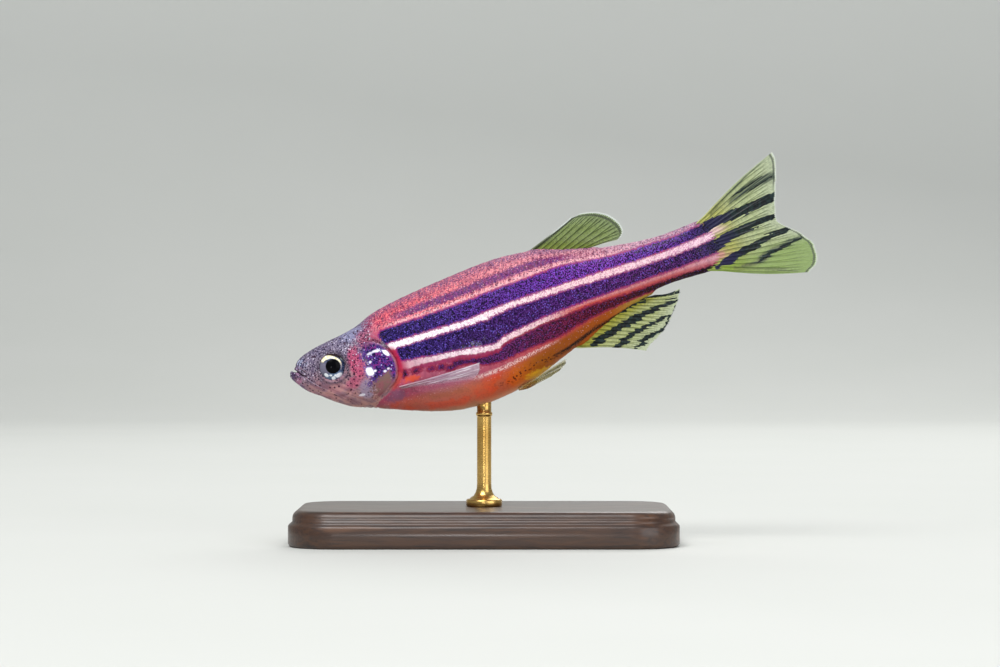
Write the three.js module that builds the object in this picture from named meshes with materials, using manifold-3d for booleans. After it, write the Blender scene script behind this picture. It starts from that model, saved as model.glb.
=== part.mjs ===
// A zebra danio, life size, swimming with its head low, held up by a rod on a flat base.
// Millimetres, +Z up. The origin is the middle of the base's underside. The head points to -X,
// so the fish's left side faces -Y.
//
// The fish is drawn level in its own frame and then pitched: s runs from the tip of the lower lip
// towards the tail, y runs across the fish to its right, and h runs up.
import * as THREE from "three";
import { LoftGeometry } from "three/addons/geometries/LoftGeometry.js";
import { mergeVertices } from "three/addons/utils/BufferGeometryUtils.js";
import Module from "manifold-3d";

const wasm = await Module();
wasm.setup();

// Driving dimensions of the fish
const BODY_LENGTH = 37.8; // lip to the end of the tail stalk
const PITCH = THREE.MathUtils.degToRad(18.1); // the tail is higher than the head
const GAP = 0.3; // between neighbouring pieces
const MEMBRANE = 0.5; // thickness of a fin between its rays, at the root
const RAY_RISE = 0.13; // how far a ray stands out of each face of its fin
const EYE = { s: 3.75, y: 1.25, h: -0.15, radius: 1.2, depth: 0.72, turn: 0.2 };
const PLATE_RISE = 0.13; // gill cover above the side of the head
const PLATE_THICKNESS = 0.5;
const PLATE_FROM_MIDDLE = 0.8; // across the fish
const REACH = 6; // of the cutting slabs, beyond the fish's sides, back and belly
const TAIL_STALK_FROM = 31.4;
const LIP_RADIUS = 0.19;
const MOUTH_OPENING = 0.14;
const LONG_FEELER = [[1.1, 0.95, -0.1], [1.6, 1.42, -0.75], [2.3, 1.72, -1.5]];
const SHORT_FEELER = [[1.05, 0.75, 0.75], [1.15, 1.12, 0.5], [1.5, 1.38, 0.15]];
const FEELER_TIP = 0.1; // radius
const NOSTRIL = { s: 1.9, y: 0.82, h: 1.12, radius: 0.2, rim: 0.08, turn: 0.5, lean: 0.8 };
const TURNS = 32; // facets round the body
const RINGS = 50; // facets along the body

// Driving dimensions of the stand
const BASE = { length: 32, width: 18, height: 3, corner: 4, bevel: 0.5 };
const ROD = { at: 16.1, radius: 0.6, foot: 1.5, footHeight: 0.8, shoulder: 0.3, neck: 0.4, facets: 20 };
// The rod's place, at, is measured level from the lip.
const LIP_ABOVE_FLOOR = 13.6;

// Outlines of the body from the side and from above, as [s, height] and [s, half width]
const BACK = [
  [0, 0.2], [0.15, 0.48], [0.55, 0.5], [0.8, 1.05], [1.5, 1.52], [3, 1.92], [5, 2.17], [6.2, 2.4],
  [8, 3.05], [10, 3.45], [14, 3.9], [19, 4.22], [22, 3.98], [25, 3.08], [28, 2.36], [33, 1.8],
  [36.8, 1.98], [37.5, 1.4], [BODY_LENGTH, -0.1],
];
const BELLY = [
  [0, 0.2], [0.12, -0.12], [0.5, -0.72], [1, -1.36], [2, -2.17], [3, -2.97], [4, -3.68], [5, -4.13],
  [7, -4.9], [9, -5.7], [11, -6.4], [13, -6.86], [15, -6.98], [17, -6.82], [19, -6.4], [22, -5.35],
  [24, -4.62], [26, -3.7], [28, -2.98], [30, -2.52], [33, -2.22], [36.8, -2.32], [37.5, -1.6],
  [BODY_LENGTH, -0.1],
];
const HALF_WIDTH = [
  [0, 0], [0.15, 0.42], [0.5, 0.76], [1, 1.05], [2, 1.45], [4, 1.93], [6, 2.22], [8, 2.38], [10, 2.58],
  [12, 2.75], [15, 2.88], [18, 2.76], [22, 2.3], [26, 1.8], [30, 1.32], [34, 0.95], [36.8, 0.66],
  [37.5, 0.5], [BODY_LENGTH, 0],
];
const WIDEST_HEIGHT = [
  [0, 0.2], [1, -0.2], [4, -0.8], [8, -1.6], [12, -2.2], [15, -2.4], [18, -2.1], [21, -1.4],
  [24, -0.8], [27, -0.4], [30, -0.25], [BODY_LENGTH, -0.1],
];
// Roundness of a section: 2 is an ellipse, more is boxier, less is keeled
const BACK_ROUNDNESS = [[0, 2], [4, 2.3], [9, 2], [20, 1.85], [30, 1.9], [BODY_LENGTH, 2]];
const BELLY_ROUNDNESS = [[0, 2], [3, 1.9], [8, 1.9], [14, 2.15], [19, 2], [24, 1.7], [BODY_LENGTH, 1.9]];

// The gill opening from the back to the throat, and the outline of the gill cover, as [s, h]
const GILL_OPENING = [
  [7.3, 4.4], [7.6, 2.6], [8.1, 0.9], [8.75, -0.4], [8.95, -1.5], [8.6, -2.75], [7.5, -3.5],
  [6.3, -4.1], [5.5, -4.9], [5.2, -5.8],
];
const GILL_COVER = [
  [6.1, 0.95], [7.3, 0.9], [8.1, 0.35], [8.6, -0.5], [8.78, -1.5], [8.43, -2.6], [7.4, -3.35],
  [6.25, -3.85], [5.35, -3.95], [5.5, -2.8], [5.85, -1.2],
];
const MOUTH_LINE = [[-0.6, 0.66], [0.6, 0.46], [1.0, 0.05], [1.32, -0.42]];

// Roots and margins of the fins, from their leading to their trailing ray
const DORSAL = {
  root: [[22.2, 0, 4.28], [24, 0, 3.74], [26, 0, 3.14], [27.6, 0, 2.76]],
  margin: [[26.5, 0, 5.5], [28.3, 0, 5.3], [29.5, 0, 4.6], [30.1, 0, 3.6], [29.8, 0, 2.75]],
  rays: 9,
};
const ANAL = {
  root: [[23.7, 0, -5.05], [26, 0, -4.02], [28, 0, -3.3], [31, 0, -2.76]],
  margin: [
    [28.9, 0, -6.97], [29.6, 0, -6.5], [31, 0, -5.7], [32.3, 0, -4.4], [33, 0, -3.4], [33.1, 0, -2.9],
  ],
  rays: 15,
};
const TAIL = {
  root: [[37, 0, 2.28], [37.85, 0, 1.55], [38.12, 0, -0.1], [37.85, 0, -1.8], [37, 0, -2.64]],
  margin: [
    [44, 0, 5.52], [44.15, 0, 5], [43.7, 0, 3.5], [43, 0, 1.5], [42.68, 0, 0.1], [43.1, 0, -0.55],
    [44.2, 0, -1.6], [45, 0, -3.1], [44.7, 0, -4.4], [43.8, 0, -4.95],
  ],
  rays: 19,
};
// The paired fins, on the right side: their roots follow the body's surface
const PECTORAL = {
  root: [[8.95, 2.5, -3.4], [9.15, 2.35, -3.75], [9.3, 2.15, -4.1]],
  margin: [[15.4, 4.3, -3.55], [15.2, 4.2, -4.2], [14.2, 3.9, -4.85], [12.6, 3.4, -5.15]],
  rays: 10,
};
const PELVIC = {
  root: [[18.2, 1.15, -6.56], [18.6, 0.85, -6.66], [19, 0.5, -6.72]],
  margin: [[22.3, 1.9, -5.5], [22, 1.5, -5.94], [21.4, 1, -6.28], [20.5, 0.6, -6.56]],
  rays: 7,
};

// A curve through knots that never overshoots them (a monotone cubic), as a function of s.
function through(knots) {
  const slope = knots.slice(1).map(([x, y], i) => (y - knots[i][1]) / (x - knots[i][0]));
  const tangent = knots.map((_, i) => {
    if (i === 0) return slope[0];
    if (i === knots.length - 1) return slope[i - 1];
    const product = slope[i - 1] * slope[i];
    return product <= 0 ? 0 : (2 * product) / (slope[i - 1] + slope[i]);
  });
  return (x) => {
    const next = knots.findIndex(([knot]) => knot > x);
    const i = next < 0 ? knots.length - 2 : Math.max(0, next - 1);
    const [x0, y0] = knots[i];
    const [x1, y1] = knots[i + 1];
    const span = x1 - x0;
    const t = THREE.MathUtils.clamp((x - x0) / span, 0, 1);
    const levels = y0 * (1 + 2 * t) * (1 - t) ** 2 + y1 * t * t * (3 - 2 * t);
    return levels + span * t * (1 - t) * (tangent[i] * (1 - t) - tangent[i + 1] * t);
  };
}

const back = through(BACK);
const belly = through(BELLY);
const halfWidth = through(HALF_WIDTH);
const widestHeight = through(WIDEST_HEIGHT);
const backRoundness = through(BACK_ROUNDNESS);
const bellyRoundness = through(BELLY_ROUNDNESS);

const signedPower = (x, n) => Math.sign(x) * Math.abs(x) ** n;

// A point of the body's surface at length s and an angle round it, which is 0 on the right side and
// a quarter turn on the back, with every half size grown by the given length.
function bodyPoint(s, angle, grow) {
  const middle = widestHeight(s);
  const up = Math.sin(angle) > 0;
  const reach = up ? back(s) - middle : middle - belly(s);
  const roundness = up ? backRoundness(s) : bellyRoundness(s);
  return new THREE.Vector3(
    s,
    Math.max(0.01, halfWidth(s) + grow) * signedPower(Math.cos(angle), 2 / roundness),
    middle + Math.max(0.01, reach + grow) * signedPower(Math.sin(angle), 2 / roundness),
  );
}

// A closed solid from corners and triangles: equal corners are merged, triangles that this
// collapses are dropped, and the faces are turned to point out.
function solidOf(positions, triangles) {
  const bare = new THREE.BufferGeometry();
  bare.setAttribute("position", new THREE.Float32BufferAttribute(positions, 3));
  bare.setIndex(triangles);
  const merged = mergeVertices(bare, 1e-4);
  const corners = merged.index.array;
  const point = (i) => new THREE.Vector3().fromBufferAttribute(merged.attributes.position, i);
  const kept = [];
  let volume = 0;
  for (let i = 0; i < corners.length; i += 3) {
    const [a, b, c] = corners.slice(i, i + 3);
    if (a === b || b === c || c === a) continue;
    kept.push([a, b, c]);
    volume += point(a).dot(point(b).cross(point(c)));
  }
  const outward = volume > 0 ? kept : kept.map(([a, b, c]) => [a, c, b]);
  const vertProperties = new Float32Array(merged.attributes.position.array);
  const triVerts = new Uint32Array(outward.flat());
  return new wasm.Manifold(new wasm.Mesh({ numProp: 3, vertProperties, triVerts }));
}

const solidFrom = (geometry) => {
  const { position } = geometry.attributes;
  const triangles = geometry.index ? [...geometry.index.array] : [...Array(position.count).keys()];
  return solidOf([...position.array], triangles);
};

const joined = (solids) => solids.reduce((all, one) => all.add(one));

const bySize = (solid) => solid.decompose().sort((a, b) => b.volume() - a.volume());

// The largest closed surface of a solid, as a named mesh.
function meshOf(name, solid, material) {
  const { vertProperties, triVerts } = bySize(solid)[0].getMesh();
  const geometry = new THREE.BufferGeometry();
  geometry.setAttribute("position", new THREE.BufferAttribute(vertProperties, 3));
  geometry.setIndex(new THREE.BufferAttribute(triVerts, 1));
  geometry.computeVertexNormals();
  const mesh = new THREE.Mesh(geometry, material);
  mesh.name = name;
  return mesh;
}

// The whole body as one closed solid. Its rings are closer together towards the snout.
function bodySolid(grow = 0) {
  const sections = [];
  for (let ring = 0; ring <= RINGS; ring++) {
    const s = BODY_LENGTH * (0.0005 + 0.999 * (ring / RINGS) ** 1.4);
    sections.push(
      Array.from({ length: TURNS }, (_, turn) => bodyPoint(s, (2 * Math.PI * (turn + 0.5)) / TURNS, grow)),
    );
  }
  return solidFrom(new LoftGeometry(sections, { capStart: true, capEnd: true }));
}

// A slab across the fish from one y to another, whose outline from the side is given as [s, h].
function slab(outline, fromY, toY) {
  const shape = new THREE.Shape(outline.map(([s, h]) => new THREE.Vector2(s, h)));
  const geometry = new THREE.ExtrudeGeometry(shape, { depth: toY - fromY, bevelEnabled: false });
  geometry.translate(0, 0, -toY);
  geometry.rotateX(Math.PI / 2);
  return solidFrom(geometry);
}

// Points along a smooth line through [s, h] points, with the line's normal at each.
function alongLine(line, steps) {
  const path = new THREE.SplineCurve(line.map(([s, h]) => new THREE.Vector2(s, h)));
  return Array.from({ length: steps + 1 }, (_, i) => {
    const at = path.getPointAt(i / steps);
    const direction = path.getTangentAt(i / steps);
    return { at, normal: new THREE.Vector2(-direction.y, direction.x) };
  });
}

// A slab that follows a line with the given width.
function slitAlong(line, width) {
  const stations = alongLine(line, 3 * line.length);
  const side = (sign) =>
    stations.map(({ at, normal }) => [at.x + (sign * normal.x * width) / 2, at.y + (sign * normal.y * width) / 2]);
  return slab([...side(1), ...side(-1).reverse()], -REACH, REACH);
}

// A closed [s, h] outline drawn smoothly through its points and moved out by the given length.
function smoothOutline(points, out = 0) {
  const path = new THREE.SplineCurve([...points, points[0]].map(([s, h]) => new THREE.Vector2(s, h)));
  const steps = 2 * points.length;
  return Array.from({ length: steps }, (_, i) => {
    const at = path.getPointAt(i / steps);
    const direction = path.getTangentAt(i / steps);
    return [at.x - direction.y * out, at.y + direction.x * out];
  });
}

// A round tube along points [s, y, h] whose radius runs evenly from one value to another.
function tube(points, startRadius, endRadius, steps = 12, sides = 8) {
  const path = new THREE.CatmullRomCurve3(points.map((p) => new THREE.Vector3(...p)));
  const { normals, binormals } = path.computeFrenetFrames(steps);
  const sections = Array.from({ length: steps + 1 }, (_, i) => {
    const centre = path.getPointAt(i / steps);
    const radius = THREE.MathUtils.lerp(startRadius, endRadius, i / steps);
    return Array.from({ length: sides }, (_, j) => {
      const angle = (2 * Math.PI * j) / sides;
      return centre
        .clone()
        .addScaledVector(normals[i], radius * Math.cos(angle))
        .addScaledVector(binormals[i], radius * Math.sin(angle));
    });
  });
  return solidFrom(new LoftGeometry(sections, { capStart: true, capEnd: true }));
}

// A ball with three half sizes, turned about the upright axis, at [s, y, h].
function ball([s, y, h], [alongS, alongY, alongH], turn = 0, detail = 18) {
  const geometry = new THREE.SphereGeometry(1, detail, detail / 2);
  geometry.rotateX(Math.PI / 2);
  geometry.scale(alongS, alongY, alongH);
  geometry.rotateZ(turn);
  geometry.translate(s, y, h);
  return solidFrom(geometry);
}

// A fin: its rays run from the root line to the margin line and are raised in both faces of the
// membrane, which thins towards the margin. Both faces are split into the same triangles. The
// camber lifts the middle of the rays to the side, and the bow spreads them within the fin.
function fin({ root, margin, rays }, { side = [0, 1, 0], steps = 5, camber = 0, bow = 0, perRay = 3 } = {}) {
  const rootLine = new THREE.CatmullRomCurve3(root.map((p) => new THREE.Vector3(...p)));
  const marginLine = new THREE.CatmullRomCurve3(margin.map((p) => new THREE.Vector3(...p)));
  const sideways = new THREE.Vector3(...side).normalize();
  const columns = perRay * rays + 1;
  const positions = [];
  for (const face of [1, -1]) {
    for (let column = 0; column <= columns; column++) {
      const across = column / columns;
      const from = rootLine.getPointAt(across);
      const ray = marginLine.getPointAt(across).sub(from);
      const inFin = ray.clone().cross(sideways).normalize();
      const onRay = perRay > 1 && column % perRay === 1;
      for (let step = 0; step <= steps; step++) {
        const out = step / steps;
        const swell = Math.sin(Math.PI * out);
        const rise = onRay ? RAY_RISE * Math.min(1, 4 * out) * (1 - 0.4 * out) : 0;
        const thick = (MEMBRANE / 2) * (1 - 0.75 * out * out) + rise;
        const at = from
          .clone()
          .addScaledVector(ray, out)
          .addScaledVector(inFin, bow * (1 - 2 * across) * swell)
          .addScaledVector(sideways, camber * swell + face * thick);
        positions.push(at.x, at.y, at.z);
      }
    }
  }
  const corner = (face, column, step) => (face * (columns + 1) + column) * (steps + 1) + step;
  const triangles = [];
  for (let column = 0; column < columns; column++) {
    for (let step = 0; step < steps; step++) {
      for (const face of [0, 1]) {
        const a = corner(face, column, step);
        const b = corner(face, column + 1, step);
        const c = corner(face, column + 1, step + 1);
        const d = corner(face, column, step + 1);
        triangles.push(...(face === 0 ? [a, b, c, a, c, d] : [a, c, b, a, d, c]));
      }
    }
  }
  const rim = [];
  for (let column = 0; column < columns; column++) rim.push([column, 0]);
  for (let step = 0; step < steps; step++) rim.push([columns, step]);
  for (let column = columns; column > 0; column--) rim.push([column, steps]);
  for (let step = steps; step > 0; step--) rim.push([0, step]);
  rim.forEach(([column, step], i) => {
    const [nextColumn, nextStep] = rim[(i + 1) % rim.length];
    const a = corner(0, column, step);
    const b = corner(0, nextColumn, nextStep);
    const c = corner(1, nextColumn, nextStep);
    const d = corner(1, column, step);
    triangles.push(b, a, d, b, d, c);
  });
  return solidOf(positions, triangles);
}

const mirrored = (points) => points.map(([s, y, h]) => [s, -y, h]);
const onLeft = ({ root, margin, rays }) => ({ root: mirrored(root), margin: mirrored(margin), rays });

// The lips: one round each jaw, from corner to corner of the mouth.
function lips() {
  const upper = [[1.25, 1.02, -0.3], [0.98, 0.8, 0.22], [0.74, 0.45, 0.62], [0.68, 0, 0.74]];
  const lower = [[1.15, 1.04, -0.55], [0.7, 0.78, -0.06], [0.3, 0.42, 0.24], [0.16, 0, 0.3]];
  return [upper, lower].map((half) => {
    const whole = [...half, ...mirrored(half.slice(0, -1)).reverse()];
    return tube(whole, LIP_RADIUS, LIP_RADIUS, 16, 6);
  });
}

// Two pairs of short feelers at the corners of the mouth and on the snout.
function feelers(sign) {
  const onSide = (path) => path.map(([s, y, h]) => [s, sign * y, h]);
  return [
    tube(onSide(LONG_FEELER), 0.24, FEELER_TIP, 6, 6),
    tube(onSide(SHORT_FEELER), 0.22, FEELER_TIP, 5, 6),
  ];
}

function nostril(sign) {
  const rim = new THREE.TorusGeometry(NOSTRIL.radius + NOSTRIL.rim / 2, NOSTRIL.rim, 6, 12);
  rim.rotateX(Math.PI / 2);
  rim.rotateZ(-NOSTRIL.turn * sign);
  rim.rotateX(-NOSTRIL.lean * sign);
  rim.translate(NOSTRIL.s, sign * NOSTRIL.y, NOSTRIL.h);
  const pit = ball([NOSTRIL.s, sign * NOSTRIL.y, NOSTRIL.h], Array(3).fill(NOSTRIL.radius), 0, 10);
  return { rim: solidFrom(rim), pit };
}

function eye(sign, grow = 0) {
  const sizes = [EYE.radius + grow, EYE.depth + grow, EYE.radius + grow];
  return ball([EYE.s, sign * EYE.y, EYE.h], sizes, -sign * EYE.turn);
}

// The gill cover on one side: a curved plate that stands a little out of the head.
function gillCover(sign) {
  const [fromY, toY] = sign > 0 ? [PLATE_FROM_MIDDLE, REACH] : [-REACH, -PLATE_FROM_MIDDLE];
  const plate = bodySolid(PLATE_RISE).subtract(bodySolid(PLATE_RISE - PLATE_THICKNESS));
  return plate.intersect(slab(smoothOutline(GILL_COVER), fromY, toY));
}

// The room that both gill covers need in the head.
function gillRecess() {
  const around = slab(smoothOutline(GILL_COVER, GAP), -REACH, REACH);
  return around.subtract(bodySolid(PLATE_RISE - PLATE_THICKNESS - GAP));
}

function head(flesh) {
  const nostrils = [nostril(1), nostril(-1)];
  const added = [...lips(), ...feelers(1), ...feelers(-1), ...nostrils.map(({ rim }) => rim)];
  return joined([flesh, ...added])
    .subtract(slitAlong(MOUTH_LINE, MOUTH_OPENING))
    .subtract(joined(nostrils.map(({ pit }) => pit)))
    .subtract(joined([eye(1, GAP), eye(-1, GAP)]))
    .subtract(gillRecess());
}

// Turns a solid of the level fish to its pitch and puts it over the base.
function posed(solid) {
  return solid
    .rotate([0, THREE.MathUtils.radToDeg(-PITCH), 0])
    .translate([-ROD.at, 0, LIP_ABOVE_FLOOR]);
}

function baseSolid() {
  const { length, width, height, corner, bevel } = BASE;
  const [x, y] = [length / 2 - bevel, width / 2 - bevel];
  const r = corner - bevel;
  const shape = new THREE.Shape();
  shape.moveTo(x, y - r).absarc(x - r, y - r, r, 0, Math.PI / 2);
  shape.absarc(r - x, y - r, r, Math.PI / 2, Math.PI);
  shape.absarc(r - x, r - y, r, Math.PI, 1.5 * Math.PI);
  shape.absarc(x - r, r - y, r, 1.5 * Math.PI, 2 * Math.PI);
  const geometry = new THREE.ExtrudeGeometry(shape, {
    depth: height - 2 * bevel,
    bevelThickness: bevel,
    bevelSize: bevel,
    bevelSegments: 2,
    curveSegments: 5,
  });
  geometry.translate(0, 0, bevel);
  return solidFrom(geometry);
}

// The rod with its foot, from just above the base to just under the belly.
function rodSolid() {
  const bottom = BASE.height + GAP;
  const { radius, foot, footHeight, shoulder, neck, facets } = ROD;
  const profile = [
    [foot, bottom], [foot, bottom + footHeight / 2], [radius + shoulder, bottom + footHeight],
    [radius, bottom + footHeight + neck], [radius, LIP_ABOVE_FLOOR],
  ];
  const geometry = new LoftGeometry(
    profile.map(([r, z]) =>
      Array.from({ length: facets }, (_, i) => {
        const angle = (2 * Math.PI * i) / facets;
        return new THREE.Vector3(r * Math.cos(angle), r * Math.sin(angle), z);
      }),
    ),
    { capStart: true, capEnd: true },
  );
  return solidFrom(geometry).subtract(posed(bodySolid(GAP)));
}

const finish = (color, roughness, metalness = 0) =>
  new THREE.MeshStandardMaterial({ color, roughness, metalness });
const materials = {
  head: finish("#8a6f88", 0.35),
  gill: finish("#6f5a9c", 0.3),
  trunk: finish("#5d4a97", 0.35),
  stalk: finish("#b08aa6", 0.35),
  fins: finish("#a9b25a", 0.4),
  pale: finish("#c9cbb4", 0.4),
  eye: finish("#1c1f2b", 0.08),
  base: finish("#1d1a19", 0.3),
  rod: finish("#b8975a", 0.25, 1),
};

const [front, rest] = bodySolid()
  .subtract(slitAlong(GILL_OPENING, GAP))
  .decompose()
  .sort((a, b) => a.boundingBox().min[0] - b.boundingBox().min[0]);
const stalkEnd = BODY_LENGTH + REACH;
const stalkFrom = slab(
  [[TAIL_STALK_FROM, -REACH], [stalkEnd, -REACH], [stalkEnd, REACH], [TAIL_STALK_FROM, REACH]], -REACH, REACH,
);
const trunkFrom = stalkFrom.translate([-GAP, 0, 0]);

const group = new THREE.Group();
const add = (name, solid, material) => group.add(meshOf(name, posed(solid), material));
add("head", head(front), materials.head);
add("trunk", rest.subtract(trunkFrom), materials.trunk);
add("tail_stalk", rest.intersect(stalkFrom), materials.stalk);
add("dorsal_fin", fin(DORSAL, { bow: 0.25 }), materials.fins);
add("anal_fin", fin(ANAL, { bow: 0.15 }), materials.fins);
add("tail_fin", fin(TAIL, { bow: 0.2, steps: 6 }), materials.fins);
for (const [side, sign] of [["left", -1], ["right", 1]]) {
  const paired = (shape) => (sign > 0 ? shape : onLeft(shape));
  add(`eye_${side}`, eye(sign), materials.eye);
  add(`gill_cover_${side}`, gillCover(sign), materials.gill);
  const pectoral = fin(paired(PECTORAL), { side: [-0.25, sign, -0.3], camber: 0.2 });
  add(`pectoral_fin_${side}`, pectoral, materials.pale);
  const pelvic = fin(paired(PELVIC), { side: [0, sign, -1.2], steps: 4 });
  add(`pelvic_fin_${side}`, pelvic, materials.pale);
}
group.add(meshOf("stand_base", baseSolid(), materials.base));
group.add(meshOf("stand_rod", rodSolid(), materials.rod));

export default group;
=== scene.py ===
"""Looks of a life-size zebra danio on a plain display stand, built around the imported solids.

The fish is worked out level and in millimetres, as [s, y, h]: s runs from the tip of the lower lip
to the tail, y across the fish to its right, and h up. Then it is pitched, moved over the base and
scaled to metres.
"""
import math
from functools import partialmethod
import bpy
import numpy as np
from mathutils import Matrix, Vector


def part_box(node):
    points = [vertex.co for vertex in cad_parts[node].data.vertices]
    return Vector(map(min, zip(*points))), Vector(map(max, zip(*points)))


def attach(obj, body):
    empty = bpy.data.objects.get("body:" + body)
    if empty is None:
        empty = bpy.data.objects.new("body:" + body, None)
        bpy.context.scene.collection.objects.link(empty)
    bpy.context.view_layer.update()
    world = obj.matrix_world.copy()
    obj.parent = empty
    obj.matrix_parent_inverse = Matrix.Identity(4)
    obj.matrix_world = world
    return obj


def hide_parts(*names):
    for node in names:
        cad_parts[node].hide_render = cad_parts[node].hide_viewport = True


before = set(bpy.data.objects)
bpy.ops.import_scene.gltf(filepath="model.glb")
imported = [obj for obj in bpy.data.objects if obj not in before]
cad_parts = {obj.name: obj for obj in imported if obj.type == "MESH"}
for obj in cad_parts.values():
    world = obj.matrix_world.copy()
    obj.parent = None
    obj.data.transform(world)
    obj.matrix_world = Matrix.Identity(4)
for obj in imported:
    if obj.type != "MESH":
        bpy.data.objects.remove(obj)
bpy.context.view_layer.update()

MM = 0.001
PITCH = math.radians(18.1)
BODY_LENGTH = 37.8
ROD_AT = 16.1  # from the lip, measured level
LIP_ABOVE_FLOOR = 13.6
SIDES = {"left": -1, "right": 1}
SEED = 7

# Outlines of the body from the side and from above, as [s, height] and [s, half width]
BACK = [
    [0, 0.2], [0.15, 0.48], [0.55, 0.5], [0.8, 1.05], [1.5, 1.52], [3, 1.92], [5, 2.17], [6.2, 2.4],
    [8, 3.05], [10, 3.45], [14, 3.9], [19, 4.22], [22, 3.98], [25, 3.08], [28, 2.36], [33, 1.8],
    [36.8, 1.98], [37.5, 1.4], [BODY_LENGTH, -0.1],
]
BELLY = [
    [0, 0.2], [0.12, -0.12], [0.5, -0.72], [1, -1.36], [2, -2.17], [3, -2.97], [4, -3.68], [5, -4.13],
    [7, -4.9], [9, -5.7], [11, -6.4], [13, -6.86], [15, -6.98], [17, -6.82], [19, -6.4], [22, -5.35],
    [24, -4.62], [26, -3.7], [28, -2.98], [30, -2.52], [33, -2.22], [36.8, -2.32], [37.5, -1.6],
    [BODY_LENGTH, -0.1],
]
HALF_WIDTH = [
    [0, 0], [0.15, 0.42], [0.5, 0.76], [1, 1.05], [2, 1.45], [4, 1.93], [6, 2.22], [8, 2.38],
    [10, 2.58], [12, 2.75], [15, 2.88], [18, 2.76], [22, 2.3], [26, 1.8], [30, 1.32], [34, 0.95],
    [36.8, 0.66], [37.5, 0.5], [BODY_LENGTH, 0],
]
WIDEST_HEIGHT = [
    [0, 0.2], [1, -0.2], [4, -0.8], [8, -1.6], [12, -2.2], [15, -2.4], [18, -2.1], [21, -1.4],
    [24, -0.8], [27, -0.4], [30, -0.25], [BODY_LENGTH, -0.1],
]
# Roundness of a section: 2 is an ellipse, more is boxier, less is keeled
BACK_ROUNDNESS = [[0, 2], [4, 2.3], [9, 2], [20, 1.85], [30, 1.9], [BODY_LENGTH, 2]]
BELLY_ROUNDNESS = [[0, 2], [3, 1.9], [8, 1.9], [14, 2.15], [19, 2], [24, 1.7], [BODY_LENGTH, 1.9]]

# Lines on the head, as [s, h]
GILL_OPENING = [
    [7.3, 4.4], [7.6, 2.6], [8.1, 0.9], [8.75, -0.4], [8.95, -1.5], [8.6, -2.75], [7.5, -3.5],
    [6.3, -4.1], [5.5, -4.9], [5.2, -5.8],
]
GILL_COVER = [
    [6.1, 0.95], [7.3, 0.9], [8.1, 0.35], [8.6, -0.5], [8.78, -1.5], [8.43, -2.6], [7.4, -3.35],
    [6.25, -3.85], [5.35, -3.95], [5.5, -2.8], [5.85, -1.2],
]
CHEEK_FOLD = [[5.0, 1.2], [5.35, 0.2], [5.2, -1.2], [4.7, -2.3], [3.6, -2.75], [2.6, -2.2]]
MOUTH_LINE = [[0.45, 0.5], [0.66, 0.44], [1.0, 0.05], [1.32, -0.42]]
EYE = {"s": 3.75, "y": 1.25, "h": -0.15, "radius": 1.2, "depth": 0.72, "turn": 0.2}
NOSTRILS = [[1.72, 0.78, 1.08], [2.08, 0.92, 1.12]]

# The borders between the bands of the flank, from the back down, as [s, h]
BAND_BORDERS = [
    [[8, 2.35], [12, 2.6], [16, 2.8], [18, 3.0], [22, 3.1], [24, 2.85], [26, 2.55], [28, 2.12], [30, 1.95],
     [33, 1.68], [37, 1.85]],
    [[8, 1.95], [12, 2.0], [16, 2.15], [18, 2.25], [20, 2.4], [22, 2.45], [24, 2.35], [26, 2.15],
     [28, 1.85], [30, 1.75], [33, 1.55], [37, 1.75]],
    [[8, 1.4], [9, 1.5], [12, 1.5], [16, 1.6], [18, 1.75], [20, 1.8], [24, 1.95], [26, 1.75], [28, 1.5],
     [30, 1.4], [34, 1.4], [36, 1.6], [38, 1.8]],
    [[8, 0.32], [12, 0.25], [15, 0.17], [16, 0.2], [18, 0.35], [20, 0.45], [24, 0.5], [28, 0.48],
     [32, 0.42], [34, 0.52], [36, 0.68], [38, 0.92]],
    [[8, -0.3], [12, -0.38], [15, -0.42], [17, -0.42], [18, -0.25], [20, -0.12], [24, -0.12],
     [28, -0.2], [32, -0.15], [34, -0.1], [36, 0.03], [38, 0.4]],
    [[8, -1.4], [10, -1.52], [12, -1.8], [14, -2.02], [16, -2.32], [17, -2.42], [18, -2.1], [20, -1.82],
     [22, -1.62], [26, -1.42], [30, -1.3], [34, -1.2], [38, -1.0]],
    [[8, -2.0], [10, -2.2], [12, -2.3], [14, -2.5], [15, -2.75], [16, -2.88], [17, -2.95], [18, -2.6],
     [20, -2.35], [22, -2.12], [24, -2.0], [26, -1.9], [28, -1.94], [30, -1.92], [34, -1.82], [38, -1.9]],
    [[8, -2.55], [12, -2.95], [13, -3.15], [15, -3.5], [16, -3.95], [17, -4.0], [20, -3.7], [22, -3.6],
     [24, -3.2], [26, -2.85], [28, -2.6], [30, -2.45], [34, -2.4], [38, -2.5]],
    [[8, -4.1], [15, -4.5], [17, -4.4], [19, -4.15], [21, -3.9], [24, -3.5], [28, -2.72], [34, -2.2]],
    [[8, -4.5], [15, -4.88], [17, -4.78], [19, -4.5], [21, -4.15], [24, -3.75], [28, -2.8], [34, -2.25]],
    [[8, -5.0], [15, -5.6], [17, -5.6], [18.5, -5.25], [19.5, -4.95], [21, -4.85], [23, -4.6],
     [26, -3.45], [34, -2.3]],
    [[8, -5.4], [15, -6.05], [17, -6.0], [18.5, -5.65], [19.5, -5.35], [21, -5.25], [23, -4.9],
     [26, -3.75], [34, -2.4]],
]

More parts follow.
